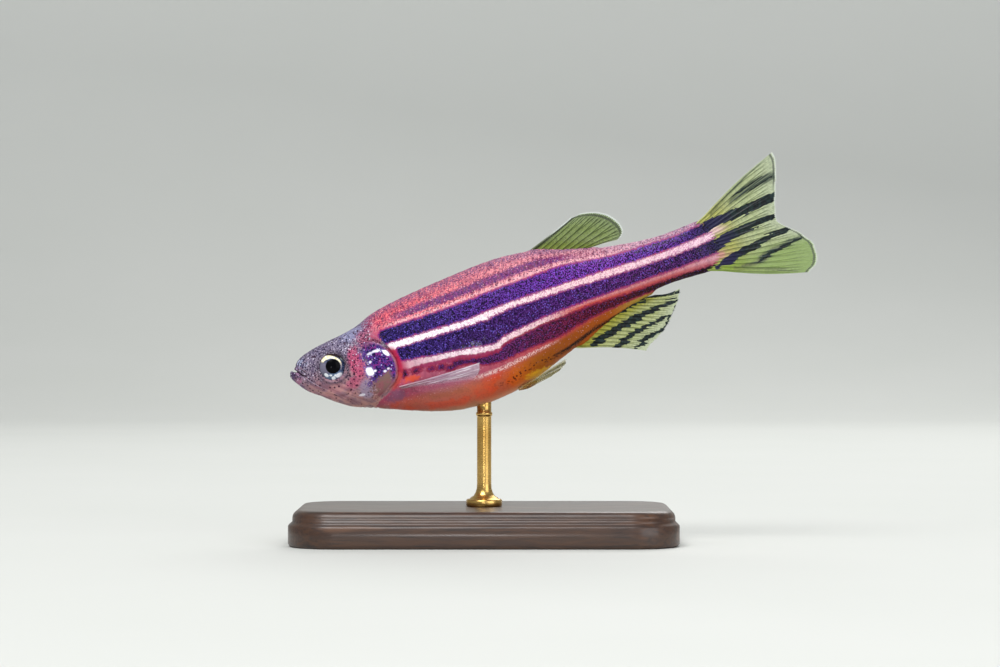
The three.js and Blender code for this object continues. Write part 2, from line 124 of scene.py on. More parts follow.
# Roots and margins of the fins, from their leading to their trailing ray
DORSAL = {
    "root": [[22.5, 0, 4.12], [24, 0, 3.62], [26, 0, 3.0], [27.6, 0, 2.64]],
    "margin": [
        [26.4, 0, 5.55], [27.4, 0, 5.6], [28.4, 0, 5.4], [29.5, 0, 4.72], [30.1, 0, 3.85], [30.2, 0, 3.15],
        [29.9, 0, 2.75], [29.5, 0, 2.55],
    ],
    "rays": 9,
}
ANAL = {
    "root": [[23.7, 0, -5.05], [26, 0, -4.02], [28, 0, -3.3], [31, 0, -2.76]],
    "margin": [
        [28.9, 0, -6.97], [29.6, 0, -6.5], [31, 0, -5.7], [32.3, 0, -4.4], [33, 0, -3.4], [33.1, 0, -2.9],
    ],
    "rays": 15,
}
TAIL = {
    "root": [[37, 0, 2.28], [37.85, 0, 1.55], [38.12, 0, -0.1], [37.85, 0, -1.8], [37, 0, -2.64]],
    "margin": [
        [44, 0, 5.52], [44.15, 0, 5], [43.7, 0, 3.5], [43, 0, 1.5], [42.68, 0, 0.1], [43.1, 0, -0.55],
        [44.2, 0, -1.6], [45, 0, -3.1], [44.7, 0, -4.4], [43.8, 0, -4.95],
    ],
    "rays": 19,
}
PECTORAL = {
    "root": [[8.95, 2.5, -3.4], [9.15, 2.35, -3.75], [9.3, 2.15, -4.1]],
    "margin": [[15.4, 4.3, -3.55], [15.2, 4.2, -4.2], [14.2, 3.9, -4.85], [12.6, 3.4, -5.15]],
    "rays": 10,
}
PELVIC = {
    "root": [[18.2, 1.15, -6.56], [18.6, 0.85, -6.66], [19, 0.5, -6.72]],
    "margin": [[22.3, 1.9, -5.5], [22, 1.5, -5.94], [21.4, 1, -6.28], [20.5, 0.6, -6.56]],
    "rays": 7,
}

# Dark stripes on the fins, as [s, h, half width]
TAIL_STRIPES = [
    [[36.8, 1.3, 0.42], [38, 1.48, 0.38], [39.9, 1.6, 0.42], [41.6, 1.78, 0.38], [43.2, 1.95, 0.3]],
    [[36.8, -0.6, 0.45], [37.2, -0.5, 0.42], [38, -0.2, 0.4], [39, 0, 0.35], [39.9, 0.13, 0.32],
     [41.6, 0.27, 0.26], [42.8, 0.33, 0.18]],
    [[36.6, -2.2, 0.12], [37.2, -2.1, 0.2], [37.7, -1.95, 0.3], [38.4, -1.8, 0.36], [39.1, -1.62, 0.36],
     [39.9, -1.47, 0.33], [40.8, -1.25, 0.28], [41.6, -1.06, 0.22], [43.5, -0.9, 0.15]],
    [[40, -2.82, 0.05], [40.6, -2.66, 0.13], [41.6, -2.44, 0.16], [43.1, -2.16, 0.13], [44, -2.0, 0.09]],
    [[39.6, 2.98, 0.03], [40.4, 3.15, 0.07], [41.3, 3.42, 0.08], [42.6, 3.85, 0.05]],
    [[40.9, 2.96, 0.03], [42, 3.2, 0.08], [43.3, 3.52, 0.07]],
]
TAIL_FAINT_STRIPES = [
    [[39.3, 2.6, 0.15], [39.9, 2.9, 0.3], [40.6, 3.1, 0.38], [41.6, 3.4, 0.42], [43.1, 3.55, 0.38],
     [43.8, 3.6, 0.25]],
    [[38.6, -2.75, 0.2], [39.9, -2.85, 0.28], [40.6, -2.6, 0.38], [41.6, -2.34, 0.36], [43.1, -2.07, 0.3],
     [44.2, -1.9, 0.2]],
    [[38, -2.7, 0.1], [43, -4.5, 0.12]],
    [[37.5, 2.2, 0.1], [39.9, 3.55, 0.12], [41.6, 4.5, 0.12], [43.5, 5.3, 0.08]],
]
ANAL_BASE_LINE = [
    [21.5, -4.95, 0.06], [22.8, -4.7, 0.1], [23.8, -4.38, 0.13], [25, -4.02, 0.12], [27, -3.5, 0.11],
    [29, -3.06, 0.11], [30, -2.93, 0.11], [31, -2.92, 0.1], [32, -3.04, 0.09], [33.1, -3.16, 0.08],
]
ANAL_STRIPES = [
    ANAL_BASE_LINE,
    [[24.7, -5.08, 0.2], [25.4, -4.98, 0.32], [27, -4.56, 0.29], [29, -4.24, 0.3], [30, -4.04, 0.24],
     [31, -3.82, 0.2], [33, -3.7, 0.1]],
    [[26.1, -6.02, 0.1], [27.2, -5.74, 0.24], [28, -5.49, 0.21], [29, -5.27, 0.2], [30, -5.07, 0.15],
     [31.6, -4.88, 0.1]],
    [[28.1, -6.42, 0.12], [29.2, -6.14, 0.19], [30, -5.96, 0.17], [30.8, -5.7, 0.13], [31.3, -5.35, 0.1],
     [31.8, -4.85, 0.1], [32.3, -4.35, 0.08]],
]


# Curves and distances

def through(knots):
    """A curve through [x, y] knots that never overshoots them: a cubic between neighbours, whose
    slope at a knot is the harmonic mean of the slopes beside it, or 0 where these differ in sign."""
    x, y = np.array(knots, float).T
    slope = np.diff(y) / np.diff(x)
    product = slope[:-1] * slope[1:]
    total = np.where(product > 0, slope[:-1] + slope[1:], 1)
    inner = np.where(product > 0, 2 * product / total, 0)
    tangent = np.concatenate([slope[:1], inner, slope[-1:]])

    def at(s):
        s = np.asarray(s, float)
        i = np.clip(np.searchsorted(x, s, side="right") - 1, 0, len(x) - 2)
        span = x[i + 1] - x[i]
        t = np.clip((s - x[i]) / span, 0, 1)
        levels = y[i] * (1 + 2 * t) * (1 - t) ** 2 + y[i + 1] * t * t * (3 - 2 * t)
        return levels + span * t * (1 - t) * (tangent[i] * (1 - t) - tangent[i + 1] * t)

    return at


back, belly, half_width, widest_height, back_roundness, belly_roundness = (
    through(k) for k in (BACK, BELLY, HALF_WIDTH, WIDEST_HEIGHT, BACK_ROUNDNESS, BELLY_ROUNDNESS)
)


def smoothstep(low, high, x):
    """0 below low and 1 above high, with an S-shaped rise between them."""
    t = np.clip((x - low) / (high - low), 0, 1)
    return t * t * (3 - 2 * t)


def fall(low, high, x):
    """1 below low and 0 above high, with an S-shaped fall between them."""
    return 1 - smoothstep(low, high, x)


def bell(distance, width):
    """1 at a distance of 0, fading like a bell: e^-1 at one width, and hardly anything at two."""
    return np.exp(-(distance / width) ** 2)


def spline(points, count, closed=False):
    """Evenly spaced points on a centripetal Catmull-Rom curve through the given points."""
    p = np.array(points, float)
    before, after = (p[-1:], p[:2]) if closed else (2 * p[:1] - p[1:2], 2 * p[-1:] - p[-2:-1])
    p = np.concatenate([before, p, after])
    fine = []
    for a, b, c, d in zip(p, p[1:], p[2:], p[3:]):
        k = np.cumsum([0] + [max(np.linalg.norm(v - u), 1e-9) ** 0.5 for u, v in ((a, b), (b, c), (c, d))])
        t = np.linspace(k[1], k[2], 24, endpoint=False)[:, None]
        ab, bc, cd = (
            (u * (k[i + 1] - t) + v * (t - k[i])) / (k[i + 1] - k[i])
            for i, (u, v) in enumerate(((a, b), (b, c), (c, d)))
        )
        abc = (ab * (k[2] - t) + bc * (t - k[0])) / (k[2] - k[0])
        bcd = (bc * (k[3] - t) + cd * (t - k[1])) / (k[3] - k[1])
        fine.append((abc * (k[2] - t) + bcd * (t - k[1])) / (k[2] - k[1]))
    fine = np.concatenate([*fine, p[-2:-1]])
    length = np.concatenate([[0], np.cumsum(np.linalg.norm(np.diff(fine, axis=0), axis=1))])
    at = np.linspace(0, length[-1], count, endpoint=not closed)
    return np.stack([np.interp(at, length, column) for column in fine.T], -1)


def line_distance(s, h, line):
    """The distance from each point to a line of [s, h] points, and the side that the point is on:
    above 0 to the left of the line's direction, below 0 to the right."""
    point = np.stack([s, h], -1)[..., None, :]
    start, step = line[:-1], np.diff(line, axis=0)
    along = np.clip(((point - start) * step).sum(-1) / (step * step).sum(-1), 0, 1)
    away = point - (start + along[..., None] * step)
    distance = np.linalg.norm(away, axis=-1)
    nearest = distance.argmin(-1)[..., None]
    cross = step[:, 0] * away[..., 1] - step[:, 1] * away[..., 0]
    side = np.sign(np.take_along_axis(cross, nearest, -1))[..., 0]
    return np.take_along_axis(distance, nearest, -1)[..., 0], side


def posed(points):
    """Points of the level fish in millimetres as world points in metres: turned about the y axis
    by the pitch, and moved so that the rod's place is over the middle of the base."""
    s, y, h = np.moveaxis(np.asarray(points, float), -1, 0)
    x = s * math.cos(PITCH) - h * math.sin(PITCH) - ROD_AT
    z = s * math.sin(PITCH) + h * math.cos(PITCH) + LIP_ABOVE_FLOOR
    return np.stack([x, y, z], -1) * MM


def lattice_noise(s, h, size, seed):
    """Smooth random waves between -1 and 1: random values on a square lattice, eased between."""
    cells = 96
    values = np.random.default_rng(seed).uniform(-1, 1, (cells, cells))
    x, y = s / size + 17.3, h / size + 41.9
    i, j = np.floor(x).astype(int), np.floor(y).astype(int)
    a, b = smoothstep(0, 1, x - i), smoothstep(0, 1, y - j)
    lower, upper = (
        values[i % cells, (j + n) % cells] * (1 - a) + values[(i + 1) % cells, (j + n) % cells] * a
        for n in (0, 1)
    )
    return lower * (1 - b) + upper * b


# Meshes

def mesh_piece(name, points, faces, uvs, attributes=None):
    """A closed, smooth-shaded piece from world points and faces, turned to face outwards, with
    OFBake coordinates for each corner and one value for each point of every named attribute."""
    mesh = bpy.data.meshes.new(name)
    mesh.from_pydata(points.reshape(-1, 3).tolist(), [], [f.tolist() for f in faces])
    mesh.shade_smooth()
    layer = mesh.uv_layers.new(name="OFBake")
    layer.data.foreach_set("uv", np.asarray(uvs, np.float32).ravel())
    for label, values in (attributes or {}).items():
        attribute = mesh.attributes.new(label, "FLOAT", "POINT")
        attribute.data.foreach_set("value", np.asarray(values, np.float32).ravel())
    if signed_volume(mesh) < 0:
        mesh.flip_normals()
    piece = bpy.data.objects.new(name, mesh)
    bpy.context.scene.collection.objects.link(piece)
    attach(piece, "root")
    return piece


def quads(rows, columns, closed=False):
    """The row and column of each face of a grid, and its four corners. The columns may close on
    themselves."""
    count = columns if closed else columns - 1
    r, c = (a.ravel() for a in np.meshgrid(np.arange(rows - 1), np.arange(count), indexing="ij"))
    n = (c + 1) % columns
    row, next_row = r * columns, (r + 1) * columns
    return r, c, np.stack([row + c, row + n, next_row + n, next_row + c], -1)


def corner_places(corners):
    """The unwrap's coordinates, face by face, from one pair of arrays for each corner."""
    return np.stack([np.stack(np.broadcast_arrays(*pair), -1) for pair in corners], 1).reshape(-1, 2)


def ring_faces(rows, columns):
    """Faces and corner coordinates of a tube of rows by columns, whose columns close on
    themselves, and whose ends close on one point each, after the last ring."""
    r, c, walls = quads(rows, columns, closed=True)
    wall_places = corner_places([(r, c), (r, c + 1), (r + 1, c + 1), (r + 1, c)]) / [rows - 1, columns]
    c = np.arange(columns)
    n = (c + 1) % columns
    last_ring, points = (rows - 1) * columns, rows * columns
    start = np.stack([n, c, np.full(columns, points)], -1)
    end = np.stack([last_ring + c, last_ring + n, np.full(columns, points + 1)], -1)
    left, middle, right = c / columns, (c + 0.5) / columns, (c + 1) / columns
    beyond = 0.002
    start_places = corner_places([(0, right), (0, left), (-beyond, middle)])
    end_places = corner_places([(1, left), (1, right), (1 + beyond, middle)])
    places = np.concatenate([wall_places, start_places, end_places])
    return [*walls, *start, *end], places * 0.98 + 0.01


def tube_piece(name, grid, ends, attributes=None):
    """A closed piece from a grid of rings and the two points that close its ends."""
    rows, columns = grid.shape[:2]
    faces, uvs = ring_faces(rows, columns)
    points = np.concatenate([grid.reshape(-1, 3), ends])
    return mesh_piece(name, points, faces, uvs, attributes)


def two_faced_piece(name, middle, sideways, half_thickness, attributes):
    """A thin closed sheet: a grid of middle points, moved to both sides by the half thickness,
    with a strip of faces round its rim. Each face has its own half of the unwrap."""
    rows, columns = middle.shape[:2]
    count = rows * columns
    offset = sideways * half_thickness[..., None]
    points = np.concatenate([(middle + offset).reshape(-1, 3), (middle - offset).reshape(-1, 3)])
    near = quads(rows, columns)[2]
    far = near[:, ::-1] + count
    rim = np.concatenate([
        np.arange(columns), np.arange(1, rows) * columns + columns - 1,
        (rows - 1) * columns + np.arange(columns - 2, -1, -1), np.arange(rows - 2, 0, -1) * columns,
    ])
    rim_next = np.roll(rim, -1)
    strip = np.stack([rim_next, rim, rim + count, rim_next + count], -1)
    u, v = np.meshgrid(np.linspace(0.01, 0.49, columns), np.linspace(0.01, 0.99, rows))
    place = np.stack([u.ravel(), v.ravel()], -1)
    place = np.concatenate([place, place + [0.5, 0]])
    strip_place = place[strip]
    strip_place[:, 2:] = strip_place[:, [1, 0]] + 0.004
    uvs = np.concatenate([place[near].reshape(-1, 2), place[far].reshape(-1, 2), strip_place.reshape(-1, 2)])
    doubled = {label: np.tile(values.ravel(), 2) for label, values in attributes.items()}
    return mesh_piece(name, posed(points), [*near, *far, *strip], uvs, doubled)


def signed_volume(mesh):
    """Six times the volume inside a closed mesh, below 0 where its faces point inwards."""
    mesh.calc_loop_triangles()
    corners = np.empty(len(mesh.loop_triangles) * 3, np.int32)
    mesh.loop_triangles.foreach_get("vertices", corners)
    points = np.empty(len(mesh.vertices) * 3, np.float32)
    mesh.vertices.foreach_get("co", points)
    a, b, c = np.moveaxis(points.reshape(-1, 3)[corners.reshape(-1, 3)].astype(float), 1, 0)
    return float((a * np.cross(b, c)).sum())


# Shader maths

class Value:
    """A number or colour that varies over a surface, held as a node's output socket."""

    def __init__(self, paint, socket):
        self.paint = paint
        self.socket = socket

    def maths(self, operation, *others):
        """One step of maths, with this value first."""
        return self.paint.node("ShaderNodeMath", {"operation": operation}, dict(enumerate((self, *others))))

    __add__ = __radd__ = partialmethod(maths, "ADD")
    __sub__ = partialmethod(maths, "SUBTRACT")
    __mul__ = __rmul__ = partialmethod(maths, "MULTIPLY")
    __truediv__ = partialmethod(maths, "DIVIDE")
    __pow__ = partialmethod(maths, "POWER")
    __abs__ = partialmethod(maths, "ABSOLUTE")
    __or__ = partialmethod(maths, "MAXIMUM")  # the larger of the two, which joins two masks

    def __rsub__(self, other):
        return self.maths("MULTIPLY", -1) + other

    def above(self, low, high, start=0, end=1):
        """0 below low and 1 above high, with an S-shaped rise."""
        settings = {"interpolation_type": "SMOOTHSTEP"}
        return self.paint.node("ShaderNodeMapRange", settings, {0: self, 1: low, 2: high, 3: start, 4: end})

    def below(self, low, high):
        """1 below low and 0 above high, with an S-shaped fall."""
        return self.above(low, high, 1, 0)

    def between(self, low, high, soft):
        """1 from low to high, fading over the softness at both."""
        return self.above(low - soft, low + soft) * self.below(high - soft, high + soft)

    def near(self, centre, half, soft):
        """1 up to the half width from the centre, fading over the softness."""
        return self.between(centre - half, centre + half, soft)


class Paint:
    """Builds one material's nodes. Its place is in millimetres: s, y and h of the level fish, or
    x, y and z on the stand."""

    def __init__(self, name, on_fish=True, **constants):
        self.material = bpy.data.materials.new(name)
        self.material.use_nodes = True
        self.nodes = self.material.node_tree.nodes
        self.links = self.material.node_tree.links
        self.shader = self.nodes["Principled BSDF"]
        for socket, value in constants.items():
            self.shader.inputs[socket.replace("_", " ")].default_value = value
        place = self.node("ShaderNodeTexCoord", {}, {}, "Object")
        if on_fish:
            lip = (-ROD_AT * MM, 0, LIP_ABOVE_FLOOR * MM)
            moved = self.node("ShaderNodeVectorMath", {"operation": "SUBTRACT"}, {0: place, 1: lip})
            turn = {"Vector": moved, "Angle": PITCH}
            place = self.node("ShaderNodeVectorRotate", {"rotation_type": "Y_AXIS"}, turn)
        self.place = self.node("ShaderNodeVectorMath", {"operation": "SCALE"}, {0: place, "Scale": 1 / MM})
        parts = self.node("ShaderNodeSeparateXYZ", {}, {0: self.place}).socket.node
        self.s, self.y, self.h = (Value(self, part) for part in parts.outputs)

    def node(self, kind, settings, inputs, output=0):
        """A new node with these settings, its inputs linked to values or set to constants."""
        node = self.nodes.new(kind)
        for key, value in settings.items():
            setattr(node, key, value)
        for key, value in inputs.items():
            if isinstance(value, Value):
                self.links.new(value.socket, node.inputs[key])
            else:
                node.inputs[key].default_value = value
        return Value(self, node.outputs[output])

    def attributes(self, *names):
        """Values that the mesh holds for each point."""
        return [self.node("ShaderNodeAttribute", {"attribute_name": name}, {}, "Fac") for name in names]

    def noise(self, scale, detail=2.0, stretch=None):
        """Clouds between about 0.25 and 0.75, with this many to a millimetre."""
        place = self.place
        if stretch:
            place = self.node("ShaderNodeMapping", {}, {"Vector": place, "Scale": stretch})
        return self.node("ShaderNodeTexNoise", {}, {"Vector": place, "Scale": scale, "Detail": detail})

    def turned(self, ds, dh, angle):
        """Two lengths on the fish's side, measured along and across a direction."""
        return ds * math.cos(angle) + dh * math.sin(angle), dh * math.cos(angle) - ds * math.sin(angle)

    def fibres(self, along, across, slope):
        """Noise drawn out along a direction of the fish's side, given by its slope in radians."""
        one, two = self.turned(self.s, self.h, slope)
        place = self.node("ShaderNodeCombineXYZ", {}, {0: one * along, 1: self.y * along, 2: two * across})
        return self.node("ShaderNodeTexNoise", {}, {"Vector": place, "Scale": 1.0, "Detail": 2.0})

    def dots(self, scale, radius, soft, share):
        """Round dots at the random points of a pattern with this many cells to a millimetre, in
        about that share of the cells. The radius is in cells."""
        away = self.node("ShaderNodeTexVoronoi", {}, {"Vector": self.place, "Scale": scale})
        chance = Value(self, away.socket.node.outputs["Color"])
        return away.below(radius, radius + soft) * chance.below(share - 0.02, share + 0.02)

    def patch(self, centre, half, blur=0.5, ragged=None, lean=0.0):
        """1 in an ellipse of the fish's side, fading over the blur. The ragged value breaks its
        edge, and the lean turns it, in radians."""
        one, two = self.turned(self.s - centre[0], self.h - centre[1], lean)
        away = (one / half[0]) ** 2 + (two / half[1]) ** 2
        if ragged is not None:
            away = away + ragged
        return away.below(1 - blur, 1 + blur)

    def away_from(self, place):
        """How far a point of the fish's side is from a place with an s and an h of its own."""
        return ((self.s - place["s"]) ** 2 + (self.h - place["h"]) ** 2) ** 0.5

    def ramp(self, value, stops):
        """Colours at places along a value, with even changes between them."""
        node = self.nodes.new("ShaderNodeValToRGB")
        low, high = stops[0][0], stops[-1][0]
        elements = node.color_ramp.elements
        while len(elements) < len(stops):
            elements.new(0.5)
        for element, (at, colour) in zip(elements, stops):
            element.position = (at - low) / (high - low)
            element.color = linear(colour)
        scaled = (value - low) / (high - low)
        self.links.new(scaled.socket, node.inputs[0])
        return Value(self, node.outputs[0])

    def mix(self, factor, a, b):
        """The first colour where the factor is 0, and the second where it is 1."""
        settings = {"data_type": "RGBA"}
        a, b = (linear(colour) if isinstance(colour, str) else colour for colour in (a, b))
        return self.node("ShaderNodeMix", settings, {0: factor, 6: a, 7: b}, 2)

    def over(self, colour, layers):
        """A colour with layers laid over it in turn, each one a mask and its own colour."""
        for mask, layer in layers:
            colour = self.mix(mask, colour, layer)
        return colour

    def set(self, socket, value):
        """Links a value to one of the shader's sockets."""
        self.links.new(value.socket, self.shader.inputs[socket])

    def bump(self, height, distance, strength):
        """Raises the surface by up to the distance, in metres, where the height is 1."""
        inputs = {"Height": height, "Distance": distance, "Strength": strength}
        self.set("Normal", self.node("ShaderNodeBump", {}, inputs))


def linear(colour):
    """A hex colour as linear red, green, blue and alpha."""
    parts = [int(colour[i:i + 2], 16) / 255 for i in (1, 3, 5)]
    return (*[((c + 0.055) / 1.055) ** 2.4 if c > 0.04045 else c / 12.92 for c in parts], 1)


# The body: one skin over head, gill covers, trunk and tail stalk

SKIN_ROWS = 590
SKIN_COLUMNS = 160
SCALE_LENGTH = 1.05
SCALE_HEIGHT = 0.92
SCALE_RELIEF = 0.03

DARK_BANDS = [[2, 8.15], [4, 9.15], [6, 13.2]]  # each as its upper border's number and its front end
BAND_GAP = [[8, 0.3], [15, 0.34], [17, 0.26], [20, 0.04], [BODY_LENGTH, 0]]  # over the lowest dark band
DARK_PATCHES = [
    [9.2, -2.5, 0.26, 0.34], [10.25, -2.6, 0.42, 0.2], [11.5, -2.8, 0.36, 0.2], [12.3, -2.95, 0.4, 0.22],
    [13.1, -3.2, 0.5, 0.24],
]
BAND_CORNER = 0.3  # how far the front corners of a dark band are rounded
SHOULDER = {"s": 9.0, "h": -3.75, "swell": 0.14, "radius": 0.5}  # the muscle at the pectoral fin


def body_grid():
    """The level body: rings at s = length * t^1.4, closer together towards the snout. A ring is a
    superellipse: across = width * cos^(2/n), height = reach * sin^(2/n), with its own reach and n
    above and below the widest height. The width narrows towards the tail fin, until it is hardly
    thicker than the fin. The angle starts at the belly, where the unwrap has its seam."""
    t = np.linspace(0, 1, SKIN_ROWS)[:, None]
    s = BODY_LENGTH * (0.0006 + 0.9985 * t ** 1.4)
    turn = np.arange(SKIN_COLUMNS)[None, :] / SKIN_COLUMNS
    angle = -math.pi / 2 + 2 * math.pi * turn
    across, up = np.cos(angle), np.sin(angle)
    middle = widest_height(s)
    reach = np.where(up > 0, back(s) - middle, middle - belly(s))
    roundness = np.where(up > 0, back_roundness(s), belly_roundness(s))
    width = half_width(s) * (1 - 0.62 * smoothstep(35.0, 37.5, s))
    y = width * np.sign(across) * np.abs(across) ** (2 / roundness)
    h = middle + reach * np.sign(up) * np.abs(up) ** (2 / roundness)
    return np.stack([np.broadcast_to(s, y.shape), y, h], -1)


def grid_normals(grid):
    """Outward directions of a tube's grid: the cross product of its two edge directions."""
    along = np.gradient(grid, axis=0)
    around = np.roll(grid, -1, 1) - np.roll(grid, 1, 1)
    normal = np.cross(around, along)
    return normal / np.maximum(np.linalg.norm(normal, axis=-1, keepdims=True), 1e-9)


def scale_pattern(s, girth):
    """Overlapping scales, as height and as the line of each rear edge. Each cell of a staggered
    lattice rises evenly from front to back and drops at its rounded rear edge, which bulges
    backwards in the middle of the cell."""
    row = girth / SCALE_HEIGHT
    height, rim = 0, 0
    for shift in (0, 1):
        across = (row + shift) / 2 % 1 * 2 - 1
        along = (s / SCALE_LENGTH + shift / 2 + 0.42 * np.abs(across) ** 2) % 1
        cover = np.clip(1 - np.abs(across) ** 3, 0, 1)
        height = np.maximum(height, cover * (along * 0.8 + 0.2) * fall(0.9, 1.0, along))
        rim = np.maximum(rim, cover * smoothstep(0.7, 0.86, along) * fall(0.94, 1.0, along))
    return height, rim


def mouth_relief(s, h):
    """A groove along the mouth's line with a lip on each side of it."""
    distance, _ = line_distance(s, h, spline(MOUTH_LINE, 24))
    return -0.3 * bell(distance, 0.055) + 0.12 * bell(distance - 0.2, 0.12) * fall(0.9, 1.5, s)


def cover_distance(s, h):
    """How far inside the gill cover's outline a point is, below 0 outside it."""
    distance, side = line_distance(s, h, spline(GILL_COVER, 60, closed=True)[np.r_[0:60, 0]])
    return -distance * side


def head_relief(s, y, h):
    """The gill cover's raised plate, the slit behind it and the folded skin under it, the cheek's
    fold, the lips, the eye's rim and the nostrils, as lengths along the outward direction."""
    inside = cover_distance(s, h)
    rear = smoothstep(6.0, 7.4, s)
    plate = 0.12 * smoothstep(-0.04, 0.45 - 0.36 * rear, inside)
    slit = -0.2 * bell(inside + 0.11, 0.08) * rear
    low = smoothstep(4.2, 5.4, s) * fall(7.2, 8.2, s) * (h < -2.6)
    for step in (0.26, 0.46, 0.66):
        slit = slit - 0.05 * bell(inside + step, 0.05) * low
    fold, _ = line_distance(s, h, spline(CHEEK_FOLD, 40))
    cheek = fall(-0.4, 0.7, h) * (0.04 * bell(fold - 0.25, 0.2) - 0.07 * bell(fold, 0.09))
    eye = np.hypot(s - EYE["s"], h - EYE["h"])
    socket = -0.4 * fall(0.95, 1.2, eye) + 0.09 * bell(eye - 1.3, 0.12)
    relief = plate + slit + cheek + socket
    for nostril in NOSTRILS:
        away = np.sqrt((s - nostril[0]) ** 2 + (np.abs(y) - nostril[1]) ** 2 + (h - nostril[2]) ** 2)
        relief = relief - 0.2 * bell(away, 0.11) + 0.05 * bell(away - 0.2, 0.06)
    return relief + mouth_relief(s, h)


def skin_attributes(s, h):
    """What the skin's colours follow: the ladder, which is a whole number on each border between
    two bands of the flank, the distances in millimetres inside the dark bands and inside the gill
    cover, and the share of the trunk's colours, which sets in slowly at the nape."""
    borders = [back(s) + 0.3, *(through(b)(s) for b in BAND_BORDERS), belly(s) - 0.3]
    for i in range(1, len(borders)):
        borders[i] = np.minimum(borders[i], borders[i - 1] - 0.04)
    ladder = sum(np.clip((a - h) / (a - b), 0, 1) for a, b in zip(borders, borders[1:]))
    dark = np.full_like(s, -1.0)
    for number, front in DARK_BANDS:
        upper = borders[number + 1] - (through(BAND_GAP)(s) if number == 6 else 0)
        inside = np.minimum(upper - h, h - borders[number + 2])
        over, ahead = (np.clip(BAND_CORNER + d, 0, None) for d in (-inside, front - s))
        dark = np.maximum(dark, np.minimum(inside, BAND_CORNER - np.hypot(over, ahead)))
    for at, height, half_long, half_high in DARK_PATCHES:
        inside = (1 - np.hypot((s - at) / half_long, (h - height) / half_high)) * half_high
        dark = np.maximum(dark, inside)
    opening, side = line_distance(s, h, spline(GILL_OPENING, 40))
    behind = opening * side
    nape = smoothstep(0.5, 1.3, h)
    mottled = behind + 0.3 * lattice_noise(s, h, 0.3, SEED + 1) + 0.4 * lattice_noise(s, h, 0.8, SEED + 2)
    trunk = (1 - nape) * smoothstep(-0.05, 0.2, behind) + nape * smoothstep(-1.1, 0.9, mottled)
    return {
        "ladder": ladder, "dark": dark, "cover": cover_distance(s, h), "trunk": trunk, "behind": behind,
        "line": stripe_mask(s, h, [ANAL_BASE_LINE], 0.08),
    }


def body_skin():
    """The body's grid, moved outwards by the relief of its scales, of the head, of the muscle at each
    pectoral fin's root and of the ridges that carry the dorsal and anal fins."""
    grid = body_grid()
    s, y, h = np.moveaxis(grid, -1, 0)
    girth = np.cumsum(np.linalg.norm(np.diff(grid, axis=1, prepend=grid[:, :1]), axis=-1), axis=1)
    top = SKIN_COLUMNS // 2
    girth = girth - girth[:, top:top + 1]
    scaled = smoothstep(0.2, 0.8, skin_attributes(s, h)["behind"]) * fall(36.4, 37.4, s)
    height, rim = scale_pattern(s, np.abs(girth))
    relief = SCALE_RELIEF * height * scaled + head_relief(s, y, h)
    relief += 0.02 * lattice_noise(s, h, 0.9, SEED) * (1 - scaled)
    from_muscle = np.sqrt((s - SHOULDER["s"]) ** 2 + (h - SHOULDER["h"]) ** 2)
    relief += SHOULDER["swell"] * bell(from_muscle, SHOULDER["radius"])
    dorsal_base = smoothstep(21.8, 22.6, s) * fall(27.2, 28.2, s) * (h > 0)
    anal_base = smoothstep(23.2, 24.2, s) * fall(30.6, 31.4, s) * (h < 0)
    relief += bell(y, 0.3) * (0.12 * dorsal_base + 0.22 * anal_base)
    grid = grid + grid_normals(grid) * relief[..., None]
    ends = np.array([[0, 0, 0.2], [BODY_LENGTH, 0, -0.1]])
    at_ends = skin_attributes(ends[:, 0], ends[:, 2])
    attributes = {
        label: np.concatenate([values.ravel(), at_ends[label]])
        for label, values in skin_attributes(grid[..., 0], grid[..., 2]).items()
    }
    attributes["rim"] = np.concatenate([(rim * scaled).ravel(), [0, 0]])
    skin = tube_piece("skin", posed(grid), posed(ends), attributes)
    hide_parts("head", "gill_cover_left", "gill_cover_right", "trunk", "tail_stalk")
    skin.data.materials.append(skin_paint())


PAINTED_HIGHLIGHTS = [  # painted highlights, each as its middle, its half sizes, its lean and how strongly it shows
    [(6.56, -1.46), (0.32, 0.36), 0.3, 1.0], [(6.98, -1.54), (0.12, 0.1), 0.0, 0.8],
    [(7.0, -0.04), (0.3, 0.1), 0.15, 0.6], [(7.55, 0.0), (0.32, 0.11), -0.1, 0.75],
    [(8.28, -0.38), (0.36, 0.15), -0.95, 1.0], [(6.82, -0.72), (0.13, 0.1), 0.0, 0.7],
    [(7.75, -1.82), (0.13, 0.1), 0.0, 0.7], [(8.08, -1.7), (0.11, 0.09), 0.0, 0.6],
    [(5.3, -3.1), (0.24, 0.1), -0.1, 0.6],
]


class SkinPaint(Paint):
    """Glossy skin, with what its colours share: clouds of four sizes, dots of pigment, the values of
    skin_attributes, the ladder with ragged borders, and the two lines above the first dark band."""

    def __init__(self):
        super().__init__("skin", IOR=1.4, Specular_IOR_Level=0.07, Coat_IOR=1.4, Coat_Roughness=0.12)
        self.coarse, self.grain, self.fleck = self.noise(2.1, 3), self.noise(4.4, 3), self.noise(9.5, 1)
        self.cloud = self.noise(1.3)
        self.pepper, self.salt = self.dots(2.9, 0.2, 0.12, 0.8), self.dots(3.7, 0.15, 0.14, 0.65)
        self.ladder, self.dark, self.rim = self.attributes("ladder", "dark", "rim")
        self.trunk, self.cover, self.line = self.attributes("trunk", "cover", "line")
        self.band = self.ladder + self.ragged(0.35, 0.45)
        self.faint_band = self.band.between(1.05, 2.0, 0.2) * self.s.between(10, 25, 1.5)
        along = self.s.above(8.4, 9.4) * self.s.below(27, 31)
        self.pale_line = self.ladder.between(2.25, 2.85, 0.2) * along

    def ragged(self, coarse, grain):
        """Clouds around 0, which break a border that they are added to."""
        return (self.coarse - 0.5) * coarse + (self.grain - 0.5) * grain


